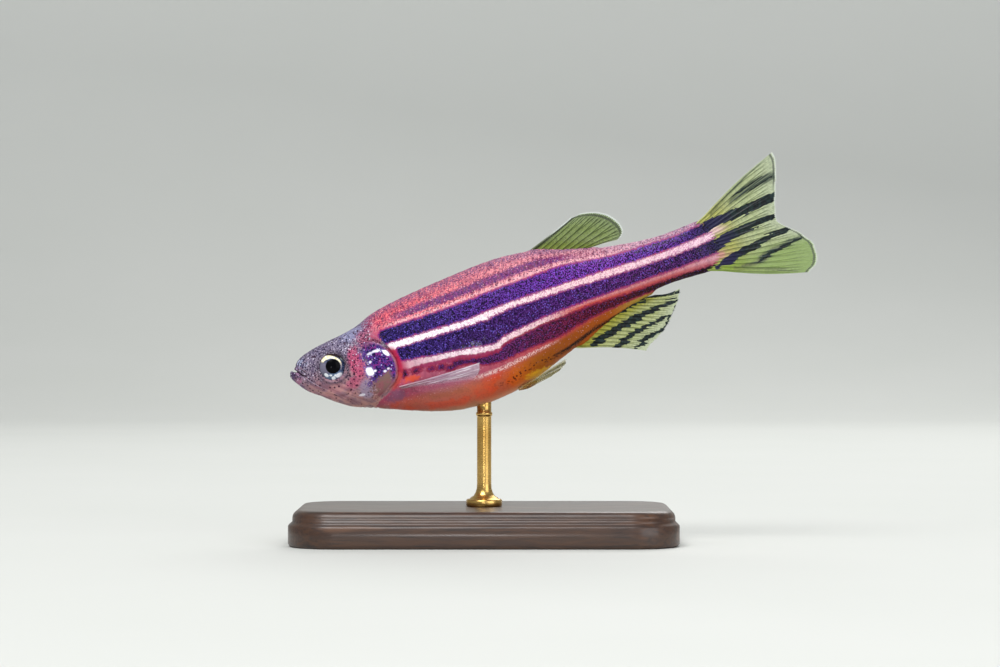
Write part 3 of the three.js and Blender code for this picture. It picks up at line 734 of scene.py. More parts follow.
def skin_paint():
    """The trunk's colours behind the head's, under a slightly pitted lacquer."""
    paint = SkinPaint()
    trunk = (paint.trunk + (paint.fleck - 0.5) * 1.6).above(0.3, 0.7)
    colour = paint.mix(trunk, head_colour(paint), trunk_colour(paint))
    paint.set("Base Color", gill_surroundings(paint, colour))
    paint.set("Roughness", 0.34 + paint.grain * 0.3)
    paint.set("Coat Weight", paint.grain.above(0.35, 0.65, 0.02, 0.26))
    paint.bump(paint.noise(7, 3) * 0.6 + paint.noise(16, 2) * 0.4, 0.00003, 0.6)
    return paint.material


def trunk_colour(paint):
    """The trunk from the back down: coral dorsum, a faint violet line, a pale one, then dark violet
    bands and pearly ones in turn, a salmon to brown belly, and a row of dark specks."""
    colour = trunk_ground(paint)
    for layer in (thin_lines, back_cells, pearly_bands, violet_bands, belly_specks):
        colour = layer(paint, colour)
    return colour


def trunk_ground(paint):
    """Coral to lilac on the back, crimson pink on the flank and salmon, orange and brown below, with
    blotches on the front of the belly, a pale band of painted rim light along the keel, a yellow patch
    over the pelvic fins and an ochre strip along the rear underside."""
    s, band = paint.s, paint.band
    dorsum = paint.ramp(s, [
        (6.5, "#8c4264"), (7.8, "#b24a64"), (9.0, "#dd5462"), (12, "#df5f68"), (16, "#df737c"),
        (20, "#d98792"), (26, "#c791a2"), (31, "#b7a0b6"), (36, "#9c92ac"), (38, "#8f9272"),
    ])
    flank = paint.ramp(s, [
        (9, "#b4516a"), (12, "#ad5a72"), (15, "#ab5268"), (19, "#b24c56"), (24, "#bd4a40"), (28, "#c05048"),
        (33, "#bd5a5c"), (38, "#b07a84"),
    ])
    underside = paint.ramp(s, [
        (6, "#95717c"), (8.5, "#c35f4e"), (11, "#c06a5c"), (14, "#c4664c"), (16.5, "#d04a20"),
        (18, "#c4601e"), (20, "#9c5412"), (23, "#984c14"), (27, "#a85214"), (31, "#a86830"), (38, "#a0846c"),
    ])
    blotch, front = paint.noise(0.55), s.below(16, 19) * 0.6
    underside = paint.over(underside, [
        (blotch.above(0.48, 0.62) * front, "#a8644c"),
        (blotch.below(0.36, 0.46) * front, "#da5236"),
    ])
    return paint.over(dorsum, [
        (band.above(2.4, 3.2), flank),
        ((band + s.above(20, 26) * 1.4).above(8.8, 10.8), underside),
        # painted rim light: a pale sandy band along the keel, against the shade under the belly
        (paint.ladder.above(12.2, 12.95) * s.below(17, 21) * 0.6, "#d3b78e"),
        (paint.patch((20.3, -6.0), (1.6, 0.4), 0.6, paint.ragged(2, 2)) * 0.75, "#dba524"),
        (band.above(8.4, 9.4) * s.above(26.5, 30) * 0.75, "#a8923c"),
    ])


def thin_lines(paint, colour):
    """The faint violet band of the back, the pale line below it, and the pale one of the belly."""
    belly_line = paint.band.between(9.1, 9.85, 0.3) * paint.s.between(14.8, 21.8, 0.8)
    return paint.over(colour, [
        (paint.faint_band * 0.9, "#8a347c"),
        (paint.faint_band * paint.fleck.above(0.4, 0.48) * 0.9, "#3a1c66"),
        (paint.pale_line * paint.grain.above(0.34, 0.54) * 0.85, "#efb6bd"),
        (belly_line * paint.fleck.above(0.42, 0.54) * 0.85, "#efcfca"),
    ])


def back_cells(paint, colour):
    """Cells of pigment: light ones and dark upright strokes on the back, a grey ridge, and dark dots there
    and on the belly, with pale dots among them that are painted sparkle."""
    s, band, fleck = paint.s, paint.band, paint.fleck
    upper = band.below(2.3, 2.9)
    strokes = paint.fibres(1.8, 7.0, 1.15).above(0.48, 0.58) * s.above(24, 32, 1, 0.65)
    lower = band.above(8.0, 8.8) * band.below(12.2, 12.8)
    dark_dots = upper * (0.6 + paint.rim * 0.3) + lower * 0.16 + paint.pale_line * 0.3
    painted_sparkle = upper * 0.5 + band.between(8, 10.5, 0.5) * 0.3
    return paint.over(colour, [
        (fleck.below(0.44, 0.5) * upper * (1 - paint.faint_band) * 0.45, "#f19295"),
        (strokes * upper * (0.45 + fleck.above(0.45, 0.55) * 0.4), "#7a2c50"),
        (fleck.above(0.54, 0.6) * upper * 0.5, "#7a2c50"),
        (paint.ladder.below(0.35, 0.9) * fleck.above(0.36, 0.5) * 0.7, "#6d5a80"),
        (paint.dots(5.2, 0.26, 0.16, 0.85) * dark_dots, "#4a1a3c"),
        # painted sparkle: pale white-pink dots on the back and the belly
        (paint.dots(4.6, 0.13, 0.14, 0.6) * painted_sparkle, "#f6cdd0"),
    ])


def pearly_bands(paint, colour):
    """Two pearly bands, white behind the head and dusty pink further back. The second one fades
    away behind the belly."""
    s, band = paint.s, paint.band
    pearl = paint.ramp(s, [
        (8, "#fdf4f8"), (15, "#f9ebf0"), (20, "#f0d6d8"), (26, "#ecc9cc"), (38, "#e6c4d2"),
    ])
    dusty = paint.ramp(s, [(8, "#e0b8d2"), (18, "#d09ab4"), (26, "#c4869e"), (38, "#c088ac")])
    pearl = paint.mix(paint.fleck.above(0.5, 0.58) * s.above(8, 20, 0.45, 0.8), pearl, dusty)
    first = band.between(3.98, 5.02, 0.12) * s.above(8.45, 8.75)
    second = band.between(6.02, 6.98, 0.14) * s.above(9.2, 9.9) * s.below(21, 25)
    later = paint.ladder.between(6.15, 6.55, 0.2) * s.above(21, 24) * 0.35
    return paint.mix(first | second * s.above(9, 14.5, 0.3, 0.86) | later, colour, pearl)


def violet_bands(paint, colour):
    """Three dark bands with a magenta to crimson fringe: violet cells among nearly black ones, and
    pale blue dots. The second band is darker than the first, and the third redder than both."""
    s, ladder, fleck = paint.s, paint.ladder, paint.fleck
    third = ladder.above(6.5, 6.7)
    gap = paint.band.between(6.98, 7.5, 0.12) * s.between(9.5, 19, 0.8)
    edge = paint.dark + paint.ragged(0.2, 0.26) + (fleck - 0.5) * 0.3
    violet = paint.ramp(s, [
        (8, "#33246e"), (13, "#402878"), (17, "#5c3090"), (21, "#643298"), (23.5, "#783aaa"), (27, "#7e3eac"),
        (34, "#623690"), (36.5, "#2f2758"), (38, "#161d30"),
    ])
    second_violet = paint.ramp(s, [
        (13, "#34205c"), (20, "#43205e"), (27, "#4c2060"), (31, "#5a2866"), (36, "#4a2462"),
    ])
    third_violet = paint.ramp(s, [
        (9, "#64204a"), (14, "#551f62"), (18, "#62235f"), (23, "#6f1c42"), (27, "#62162a"), (31, "#41161c"),
        (38, "#201418"),
    ])
    night = paint.ramp(s, [
        (8, "#07041a"), (14, "#0b0420"), (20, "#1c0732"), (27, "#1d082f"), (38, "#07090f"),
    ])
    third_night = paint.ramp(s, [(9, "#1d0818"), (18, "#220a24"), (25, "#2f0716"), (38, "#0f090d")])
    violet = paint.over(violet, [
        (ladder.above(4.5, 4.7) * s.between(13.5, 36, 1.5) * 0.8, second_violet),
        (third, third_violet),
    ])
    cells = paint.mix(fleck.above(0.46, 0.56), paint.mix(third, night, third_night), violet)
    blue_dots = paint.dots(6.4, 0.19, 0.16, 0.6) * (0.65 - third * 0.35) * s.below(34, 37)
    return paint.over(colour, [
        (gap * 0.85, "#8e2a54"),
        (edge.above(-0.16, -0.03) * (0.9 - s.above(24, 34) * 0.2), paint.mix(third, "#84266a", "#86203f")),
        (edge.above(0.0, 0.1), paint.mix(blue_dots, cells, "#7c6ae0")),
    ])


def belly_specks(paint, colour):
    """A row of dark specks low on the belly, the dark line over the anal fin, and the rear edges of
    the scales."""
    s, fleck = paint.s, paint.fleck
    row = paint.band.between(11.0, 12.0, 0.35) * s.between(16.5, 26, 1.2)
    specks = paint.dots(4.2, 0.3, 0.16, 0.8) | fleck.above(0.4, 0.5) * s.above(20.5, 23) * 0.8
    return paint.over(colour, [
        (row * specks * 0.85, "#34140f"),
        (paint.line * (0.6 + fleck.above(0.4, 0.5) * 0.4), "#191210"),
        (paint.rim * paint.band.below(8, 11) * 0.2, "#2c1238"),
    ])


def head_colour(paint):
    """The head: grey-lilac and densely speckled on top, pink on the cheek, brownish pink with fine
    streaks below, and the gill cover over its rear, with painted highlights on it. A dark ring runs round the
    eye."""
    colour = head_ground(paint)
    # the last layer paints highlights as white spots, most of them on the gill cover
    for layer in (cheek_and_jaw, lips_and_brow, head_cells, gill_cover, painted_highlights):
        colour = layer(paint, colour)
    rear_edge = paint.cover.near(0.06, 0.05, 0.05) * paint.s.above(6.8, 7.6)
    return paint.over(colour, [
        (rear_edge * 0.2, "#c795b8"),
        (paint.away_from(EYE).near(1.33, 0.08, 0.14) * 0.7, "#3c3548"),
    ])


def head_ground(paint):
    """Brownish pink at the throat, partly painted light there, to grey-lilac on top, with clouds and fine
    cells.
    """
    h, fleck = paint.h, paint.fleck
    # the throat's stops are its own brownish pink, made lighter as painted light against the shade under the
    # head
    ground = paint.ramp(h, [
        (-4.4, "#c09088"), (-3.2, "#bd8e8c"), (-2.2, "#bb848a"), (-1.2, "#ab7e88"), (0.2, "#94828f"),
        (1.6, "#80768c"), (2.8, "#746b88"),
    ])
    upper = h.above(-1.5, 0)
    return paint.over(ground, [
        (paint.cloud.above(0.42, 0.62) * 0.5, "#665d78"),
        (fleck.above(0.45, 0.55) * upper * 0.65, "#3f3656"),
        (fleck.below(0.4, 0.47) * upper * 0.35, "#b3a6bd"),
    ])


def cheek_and_jaw(paint, colour):
    """A pale blue crown, a crimson nape, streaks along the lower jaw, and a pink cheek."""
    ragged, fleck = paint.ragged(2.0, 1.6), paint.fleck
    crown = paint.patch((6.0, 1.95), (1.0, 0.5), 0.8, ragged * 0.7)
    nape = paint.patch((7.4, 1.2), (1.25, 0.85), 0.6, ragged * 0.9)
    streaks = paint.fibres(0.5, 5.0, -0.72)
    jaw = paint.h.below(-1.6, -0.6) * paint.s.below(5.2, 6.2)
    cheek = paint.patch((5.68, -0.5), (0.64, 1.3), 0.6, ragged * 0.6)
    lower_cheek = paint.patch((5.1, -1.9), (0.8, 0.45), 0.7, ragged * 0.7, 0.2)
    return paint.over(colour, [
        (crown * 0.4, "#9a9fc6"),
        (nape * 0.85, paint.mix(fleck.above(0.44, 0.54), "#ab5672", "#5e2044")),
        (jaw * streaks.above(0.5, 0.62) * 0.5, "#c99a92"),
        (jaw * streaks.below(0.38, 0.48) * 0.45, "#7d4a55"),
        ((cheek | lower_cheek * 0.75) * 0.9, paint.mix(fleck.above(0.46, 0.56), "#c4587a", "#a03a60")),
        (paint.patch((5.9, -2.7), (0.65, 0.75), 0.6, ragged * 0.6) * 0.7, "#8c86a4"),
    ])


def lips_and_brow(paint, colour):
    """Streaked lips with an indigo tip, dark strokes over the upper lip, and pale ones there that are painted
    glints.
    """
    ragged = paint.ragged(2.0, 1.6) * 0.3
    lips = paint.s.below(0.7, 1.1) * paint.h.below(0.7, 1.0)
    strokes = paint.fibres(1.5, 6.0, 0.9)
    brow = paint.patch((1.15, 0.95), (0.6, 0.5), 0.6)
    return paint.over(colour, [
        (lips * 0.6, "#a27894"),
        (lips * paint.fibres(1.0, 6.0, -0.9).above(0.48, 0.58) * 0.7, "#4a3c64"),
        (paint.patch((0.2, 0.25), (0.32, 0.42), 0.6, ragged) * 0.75, "#2b2450"),
        (paint.patch((0.62, -0.42), (0.24, 0.36), 0.6, ragged, -0.9) * 0.6, "#b57a96"),
        # painted glints: pale blue strokes over the upper lip
        (brow * strokes.above(0.52, 0.58) * 0.75, "#b3bede"),
        (brow * strokes.below(0.42, 0.48) * 0.8, "#23224a"),
    ])


def head_cells(paint, colour):
    """Fine dark dots on the snout and crown, larger ones all over, and pale ones on top."""
    s, h = paint.s, paint.h
    fine = paint.dots(5.0, 0.28, 0.16, 0.8) * (h + s * 0.3).above(-1.2, 0.6) * s.below(5.4, 6.4)
    return paint.over(colour, [
        (fine * 0.95, "#1e1730"),
        (paint.pepper * h.above(-4.0, -2.0, 0.4, 0.9), "#35152d"),
        (paint.salt * h.above(-1.6, 0.0) * 0.8, "#d3cbe0"),
    ])


def gill_cover(paint, colour):
    """Dark violet cells with pale and dark dots, and bare brownish grey at the lower rear, under a
    slanted ragged border. The front and upper borders are ragged too."""
    s, h = paint.s, paint.h
    waver, scatter = paint.ragged(1.2, 0.6), paint.fleck - 0.5
    lower_side = (h - s * 0.37 + 4.85 + waver * 0.5 + scatter * 0.9).below(-0.15, 0.15) * s.below(7.9, 8.4)
    tint = (paint.cloud - h * 0.25 + (paint.grain - 0.5) * 0.5).above(1.05, 1.45)
    bare = paint.mix(tint, "#7c5f5a", "#8f565e")
    bare = paint.mix(paint.pepper * s.below(6.6, 7.2) * 0.7, bare, "#3c2c3c")
    gill = paint.over(paint.mix(paint.fleck.above(0.45, 0.55), "#170c3a", "#503486"), [
        ((paint.grain + (s - 7.5) * 0.04).above(0.52, 0.6) * 0.8, "#822a7c"),
        (paint.salt * 0.9, "#c9c1f2"),
        (paint.pepper * 0.8, "#140a2a"),
        (lower_side, bare),
    ])
    front = (s + waver + scatter * 2.4).above(5.95, 6.6)
    ceiling = (h + waver + scatter * 2.4 - s * 0.1).below(-0.35, 0.25)
    return paint.mix(paint.cover.above(-0.04, 0.1) * front * (0.25 + ceiling * 0.75), colour, gill)


def painted_highlights(paint, colour):
    """Painted highlights: bright spots with a lilac halo, most of them on the gill cover."""
    ragged = paint.ragged(2.0, 1.6)
    for centre, half, lean, strength in PAINTED_HIGHLIGHTS:
        highlight_halo = paint.patch(centre, [size * 1.3 for size in half], 0.5, ragged * 0.5, lean)
        spot = paint.patch(centre, half, 0.35, ragged * 0.75, lean)
        colour = paint.over(colour, [(highlight_halo * strength * 0.4, "#9a90cc"), (spot * strength, "#fbf9ff")])
    return colour


def gill_surroundings(paint, colour):
    """The crimson arc and the dark slit behind the gill cover, the orange skin before the pectoral
    fin, and the grey patch of the throat."""
    s, h = paint.s, paint.h
    cover = paint.cover + (paint.coarse - 0.5) * 0.25
    arc = cover.between(-0.5, -0.02, 0.14) * (s + h * 0.4).above(6.0, 7.0) * h.below(-0.4, 0.2)
    crimson = paint.mix(h.above(-2.8, -1.8), "#bb4440", "#ae1b42")
    crimson = paint.mix(paint.grain.above(0.5, 0.62) * 0.4, crimson, "#7d1733")
    ragged = paint.ragged(3, 2)
    return paint.over(colour, [
        (arc * 0.9, crimson),
        (cover.near(-0.1, 0.03, 0.05) * s.above(6.6, 7.6) * 0.45, "#4f1230"),
        (paint.patch((9.65, -3.1), (0.75, 0.24), 0.9, ragged * 1.4) * 0.8, "#d9532f"),
        (paint.patch((8.0, -4.05), (0.9, 0.45), 0.7, ragged) * 0.65, "#755672"),
    ])


# The fins: thin membranes with fine, branched rays

RAY_JOINT = 0.34  # from one joint of a ray to the next


def stripe_mask(s, h, stripes, soft):
    """1 on stripes given as [s, h, half width], fading over the softness at their edges and ends."""
    mask = np.zeros_like(s)
    for stripe in stripes:
        at, centre, half = np.array(stripe, float).T
        edge = np.abs(h - np.interp(s, at, centre)) - np.interp(s, at, half)
        ends = smoothstep(at[0] - 0.3, at[0] + 0.1, s) * fall(at[-1] - 0.1, at[-1] + 0.3, s)
        mask = np.maximum(mask, fall(-soft, soft, edge) * ends)
    return mask


def ray_ridges(offset, out):
    """1 on the middle of a ray and 0 beside it. Each ray splits in two at half its length and again
    near the margin. The offset is the place across the fin, in rays from the nearest one."""
    first, second = smoothstep(0.3, 0.9, out), smoothstep(0.62, 1.0, out)
    width = 0.17 - 0.075 * first - 0.035 * second
    ridge = np.zeros(out.shape)
    for branch in (-1, 1):
        for twig in (-1, 1):
            centre = branch * 0.24 * first + twig * 0.12 * second
            ridge = np.maximum(ridge, bell(offset - centre, width))
    return ridge


def fin_piece(node, shape, paint, side=(0, 1, 0), mirror=1, camber=0.0, bow=0.0, sunk=0.5, stripes=(),
              faint=(), stagger=0.07, columns_per_ray=14, rows=96, root_thickness=0.04):
    """A fin. Its middle is a grid from the root line to the margin line, straight along each ray
    but for the bow within the fin and the camber to its side. Each ray is a rounded ridge with
    fine joints. The membrane thins outwards, and the margin is a little drawn in between rays."""
    rays = shape["rays"]
    columns = rays * columns_per_ray + 1
    root, margin = (spline(np.array(shape[k]) * [1, mirror, 1], columns) for k in ("root", "margin"))
    sideways = np.array(side, float) * [1, mirror, 1]
    sideways /= np.linalg.norm(sideways)
    ray = margin - root
    length = np.linalg.norm(ray, axis=-1)
    across = np.broadcast_to(np.linspace(0, 1, columns), (rows, columns))
    out = np.linspace(0, 1, rows)[:, None] * (1 + sunk / length) - sunk / length

    position = across * rays - 0.5
    number = np.clip(np.round(position), 0, rays - 1)
    random = np.random.default_rng(SEED + len(node)).uniform(-1, 1, (3, rays))
    jitter = random[:, number.astype(int)]
    ridge = ray_ridges(position - number, out)
    edge = np.minimum(across, 1 - across) * rays
    notch = (0.13 * (1 - ridge) * smoothstep(0, 0.5, edge) + 0.05 * jitter[0]) / length
    reach = out - notch * smoothstep(0.88, 1, out)

    swell = np.sin(math.pi * np.clip(out, 0, 1))
    in_fin = np.cross(ray, sideways)
    in_fin /= np.maximum(np.linalg.norm(in_fin, axis=-1, keepdims=True), 1e-9)
    wave = 0.07 * lattice_noise(across * 5, out * 2.2, 1.0, SEED + 3) * smoothstep(0.2, 1, out)
    middle = root + ray * reach[..., None] + in_fin * (bow * (1 - 2 * across) * swell)[..., None]
    middle = middle + sideways * (camber * swell + wave)[..., None]
    joints = 0.5 + 0.5 * np.cos(out * length * 2 * math.pi / RAY_JOINT + 2 * jitter[1])
    bony = ridge * (1 - 0.15 * joints * smoothstep(0.3, 0.9, out))
    half = (0.04 + 0.085 * bony) * (1 - 0.72 * smoothstep(0, 1, out)) + 0.012
    half = half * (0.25 + 0.75 * smoothstep(0, 0.5, edge)) + root_thickness * fall(-0.1, 0.28, out)

    s, h = middle[..., 0], middle[..., 2]
    speck = lattice_noise(s, h, 0.16, SEED + 5)
    strand = lattice_noise(across * rays * 3, out * 3, 1.0, SEED + 6)
    shifted = h + stagger * (jitter[2] + 1.3 * strand) + 0.05 * speck - 0.6 * stagger * (1 - ridge)
    piece = two_faced_piece(node, middle, sideways, half, {
        "ray": ridge, "out": out, "across": across,
        "dark": stripe_mask(s, shifted, stripes, 0.1), "faint": stripe_mask(s, shifted, faint, 0.18),
        "edge": np.minimum(edge * length.mean() / 12, (1 - out) * length),
    })
    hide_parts(node)
    piece.data.materials.append(paint.material)


def fin_paint(name, root, membrane, tip, ray, opacity, rim="#c9d2b4"):
    """Translucent membrane between denser, darker rays, and blue-black pigment on the stripes. The
    opacity grows towards the root, on the rays and on the pigment. Returns the paint with the
    values that single fins add to."""
    paint = Paint(name, IOR=1.38, Specular_IOR_Level=0.35, Roughness=0.36)
    on_ray, out, dark, faint, edge = paint.attributes("ray", "out", "dark", "faint", "edge")
    grain = paint.noise(5, 3)
    colour = paint.over(paint.mix(out.above(0.0, 0.45), root, membrane), [
        (out.above(0.5, 1.0) * 0.8, tip),
        (grain.above(0.45, 0.62) * 0.25, ray),
        (on_ray.above(0.55, 0.95) * 0.8, ray),
        (faint * (0.7 + on_ray * 0.3), "#27332f"),
        (edge.below(0.03, 0.12) * 0.55, rim),
        (dark.above(0.25, 0.55), paint.mix(grain.above(0.42, 0.62), "#080f12", "#182a2a")),
    ])
    body = opacity + on_ray.above(0.4, 0.95) * 0.3 + dark * 0.5 + faint * 0.35 + out.below(-0.05, 0.3) * 0.35
    return paint, colour, body


def finish_fin(paint, colour, body, layers=()):
    """Lays the fin's own layers over its colour, and links both the colour and the opacity."""
    paint.set("Base Color", paint.over(colour, layers))
    paint.set("Alpha", body.maths("MINIMUM", 1.0))
    return paint


def dorsal_paint():
    """Olive green, with a dark line under the pale leading edge and a greyish outer margin."""
    paint, colour, body = fin_paint("dorsal_membrane", "#6c7a30", "#798c42", "#87986a", "#16240f", 0.7)
    across, out = paint.attributes("across", "out")
    under = across.between(0.0, 0.1, 0.03) | out.between(0.88, 0.94, 0.02) * across.below(0.8, 1.0) * 0.9
    pale = across.below(0.02, 0.045) * out.above(0.3, 0.6) | out.above(0.955, 0.98)
    return finish_fin(paint, colour, body, [(under * 0.75, "#131a14"), (pale * 0.8, "#e3eae6")])


def anal_paint():
    """Yellow-green, paler outwards."""
    return finish_fin(*fin_paint("anal_membrane", "#a3a03a", "#b0b872", "#ccd6b8", "#4a5428", 0.64))


def tail_paint():
    """Yellow-green at the base and on the lower lobe, pale further out. The scaled body's colours
    run a little way onto it."""
    paint, colour, body = fin_paint("tail_membrane", "#a9a95c", "#b2be84", "#c6d1b2", "#445036", 0.6)
    h = paint.h
    dark, faint, ray, out = paint.attributes("dark", "faint", "ray", "out")
    marked = dark | faint | ray.above(0.55, 0.95) * 0.7
    lobes = h.above(2.2, 3.2) | h.below(-1.2, -0.6)
    reach = paint.s + (paint.noise(1.6) - 0.5) * 1.8
    stripe = dark.above(0.25, 0.55)
    return finish_fin(paint, colour, body, [
        (h.below(-2.6, -1.3) * 0.8 * (1 - marked), "#7c9c34"),
        (out.between(0.95, 0.975, 0.01) * lobes * 0.8, "#27332e"),
        (out.above(0.98, 0.99) * 0.8, "#dfe6da"),
        (reach.below(37.3, 38.9) * h.between(0.5, 1.1, 0.2) * (1 - stripe) * 0.85, "#dab8ba"),
        (reach.below(37.3, 38.5) * h.between(-1.6, -1.0, 0.2) * (1 - stripe) * 0.8, "#c08484"),
        (reach.below(37.6, 39.6) * stripe * 0.8, "#221c46"),
    ])


def pectoral_paint():
    """Nearly clear and lilac, with white streaks of painted highlight along its upper rays."""
    colours = ("#b98a92", "#c0a3b4", "#cdbcc8", "#8d7690")
    paint, colour, body = fin_paint("pectoral_membrane", *colours, 0.26, "#e4dce6")
    upper = paint.attributes("across")[0].below(0.2, 0.48)
    # painted highlight: white streaks along the upper rays
    streak = paint.fibres(0.5, 7.0, -0.04).above(0.5, 0.6) * upper
    return finish_fin(paint, colour, body * (0.1 + upper * 0.9) + upper * 0.2, [(streak * 0.7, "#f2edf6")])


def pelvic_paint():
    """Nearly clear and yellow-brown, with a dark streak along its leading rays and one in the middle."""
    colours = ("#b87a30", "#b5a63e", "#bdb86a", "#6b5f2a")
    paint, colour, body = fin_paint("pelvic_membrane", *colours, 0.25, "#c9c384")
    across = paint.attributes("across")[0]
    dark = across.between(0.1, 0.2, 0.05) | across.near(0.5, 0.04, 0.05)
    return finish_fin(paint, colour, body * 0.5 + dark * 0.4, [(dark * 0.75, "#241c15")])


def fins():
    """The dorsal, anal and tail fins in the middle, and a pectoral and a pelvic fin on each side."""
    fin_piece("dorsal_fin", DORSAL, dorsal_paint(), bow=-0.04, sunk=0.7, columns_per_ray=16)
    fin_piece("anal_fin", ANAL, anal_paint(), bow=0.15, sunk=0.7, stripes=ANAL_STRIPES, stagger=0.11)
    fin_piece("tail_fin", TAIL, tail_paint(), bow=0.2, sunk=1.4, stripes=TAIL_STRIPES,
              faint=TAIL_FAINT_STRIPES, rows=120, root_thickness=0.16)
    pectoral, pelvic = pectoral_paint(), pelvic_paint()
    for side, mirror in SIDES.items():
        fin_piece(f"pectoral_fin_{side}", PECTORAL, pectoral, (-0.25, 1, -0.3), mirror, camber=0.2, rows=70)
        fin_piece(f"pelvic_fin_{side}", PELVIC, pelvic, (0, 1, -1.2), mirror, rows=60)


# The eyes

PUPIL = {"s": 3.76, "h": -0.1, "radius": 0.59}
IRIS_WHITES = [  # each as its middle, its half sizes and its lean
    [(3.02, -0.62), (0.2, 0.13), -0.9], [(4.0, -0.94), (0.3, 0.17), 0.2], [(3.5, -1.06), (0.18, 0.17), 0.6],
    [(3.36, -0.76), (0.12, 0.08), -0.4], [(3.72, -0.88), (0.1, 0.09), 0.0],
]


def eye_piece(side, paint):
    """A ball with three half sizes, whose outer face swells into a low dome over the iris."""
    rows, columns = 90, 96
    turn = np.linspace(0, 2 * math.pi, columns, endpoint=False)[None, :]
    tilt = np.linspace(0.012, math.pi - 0.012, rows)[:, None]
    out = np.cos(tilt) * np.ones_like(turn)
    dome = 0.144 * smoothstep(0.35, 1.0, out)
    ball = np.stack([np.sin(tilt) * np.cos(turn), out + dome, np.sin(tilt) * np.sin(turn)], -1)
    sign = SIDES[side]
    sized = ball * [EYE["radius"], sign * EYE["depth"], EYE["radius"]]
    swing = -sign * EYE["turn"]
    turned = np.stack([
        sized[..., 0] * math.cos(swing) - sized[..., 1] * math.sin(swing),
        sized[..., 0] * math.sin(swing) + sized[..., 1] * math.cos(swing), sized[..., 2],
    ], -1)
    grid = turned + np.array([EYE["s"], sign * EYE["y"], EYE["h"]])
    poles = np.stack([grid[0].mean(0), grid[-1].mean(0)])
    piece = tube_piece(f"eye_{side}_ball", posed(grid), posed(poles))
    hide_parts(f"eye_{side}")
    piece.data.materials.append(paint.material)


def eye_paint():
    """Round the black pupil: a cream crescent over it that thins down its rear side, a brown band
    over that, a slate iris with white patches below, and a dark outer ring."""
    paint = Paint(
        "eye", Roughness=0.4, Specular_IOR_Level=0.03, Coat_IOR=1.3, Coat_Roughness=0.03, Coat_Weight=0.14
    )
    away = paint.away_from(PUPIL)
    rise = {0: paint.h - PUPIL["h"], 1: paint.s - PUPIL["s"]}
    angle = paint.node("ShaderNodeMath", {"operation": "ARCTAN2"}, rise)
    polar = paint.node("ShaderNodeCombineXYZ", {}, {0: angle * 2.5, 1: away * 0.8})
    streaks = paint.node("ShaderNodeTexNoise", {}, {"Vector": polar, "Scale": 3.0, "Detail": 3.0})
    cloud = paint.noise(2.6)
    centre = 0.7 + angle.above(0.9, 2.6) * 0.32
    half = 0.03 + angle.above(-0.6, 0.8) * 0.05 + angle.above(1.0, 1.9) * 0.08
    band = abs(away - centre + (cloud - 0.5) * 0.08) - half
    crescent = band.below(-0.03, 0.035) * angle.between(-0.7, 2.45, 0.12)
    cream = paint.mix(streaks.above(0.4, 0.62), "#e9dcae", "#fdf8e4")
    ragged = (cloud - 0.5) * 2 + (streaks - 0.5) * 1.2
    paint.set("Base Color", paint.over(paint.mix(streaks.above(0.4, 0.65), "#222a44", "#4c5878"), [
        (abs(angle).above(2.0, 2.7) * 0.75, "#7b7688"),
        (away.between(0.86, 1.2, 0.06) * angle.between(0.5, 2.4, 0.3), "#33261f"),
        (crescent, paint.mix(angle.above(-0.4, 0.5), "#8d8490", cream)),
        (paint.patch((3.6, -0.85), (0.75, 0.32), 0.5, ragged * 0.4) * 0.5, "#7f97b8"),
        *[(paint.patch(at, size, 0.35, ragged * 0.35, lean), "#eef4fb") for at, size, lean in IRIS_WHITES],
        (paint.patch((4.66, 0.25), (0.2, 0.1), 0.5, ragged * 0.4, -0.9) * 0.6, "#a9b3b0"),
        (away.below(PUPIL["radius"] - 0.01, PUPIL["radius"] + 0.04), "#020205"),
        (paint.away_from(EYE).above(1.08, 1.17), "#16111a"),
    ]))
    return paint


# Feelers at the mouth

FEELERS = [
    {"path": [[1.15, 0.98, -0.15], [1.6, 1.45, -0.75], [2.3, 1.76, -1.5]], "radius": 0.09},
    {"path": [[1.05, 0.78, 0.7], [1.18, 1.16, 0.48], [1.52, 1.42, 0.12]], "radius": 0.08},
]


def feelers():
    """Round tapered tubes along a curve, with rings turned by the curve's own direction."""
    paint = Paint("feelers", Roughness=0.4)
    paint.set("Base Color", paint.mix(paint.noise(4).above(0.4, 0.6), "#8d7080", "#695870"))
    steps, sides = 24, 14
    angle = np.linspace(0, 2 * math.pi, sides, endpoint=False)[None, :, None]
    for side, sign in SIDES.items():
        for number, feeler in enumerate(FEELERS):
            line = spline(np.array(feeler["path"]) * [1, sign, 1], steps)
            direction = np.gradient(line, axis=0)
            one = np.cross(direction, [0.2, 0.3, 1.0])
            one /= np.linalg.norm(one, axis=1, keepdims=True)
            two = np.cross(one, direction / np.linalg.norm(direction, axis=1, keepdims=True))
            radius = feeler["radius"] * (1 - 0.72 * np.linspace(0, 1, steps))[:, None, None]
            grid = line[:, None] + radius * (one[:, None] * np.cos(angle) + two[:, None] * np.sin(angle))
            piece = tube_piece(f"feeler_{side}_{number}", posed(grid), posed(line[[0, -1]]))
            piece.data.materials.append(paint.material)


# The stand

BASE_TOP = 3.0
CORNER_RADIUS = 4.0  # of the plate, seen from above
FOOT_RADIUS = 0.35
CROWN_RADIUS = 0.65
COVE = (0.36, 2.35)  # inset and height at which the cove meets the crown


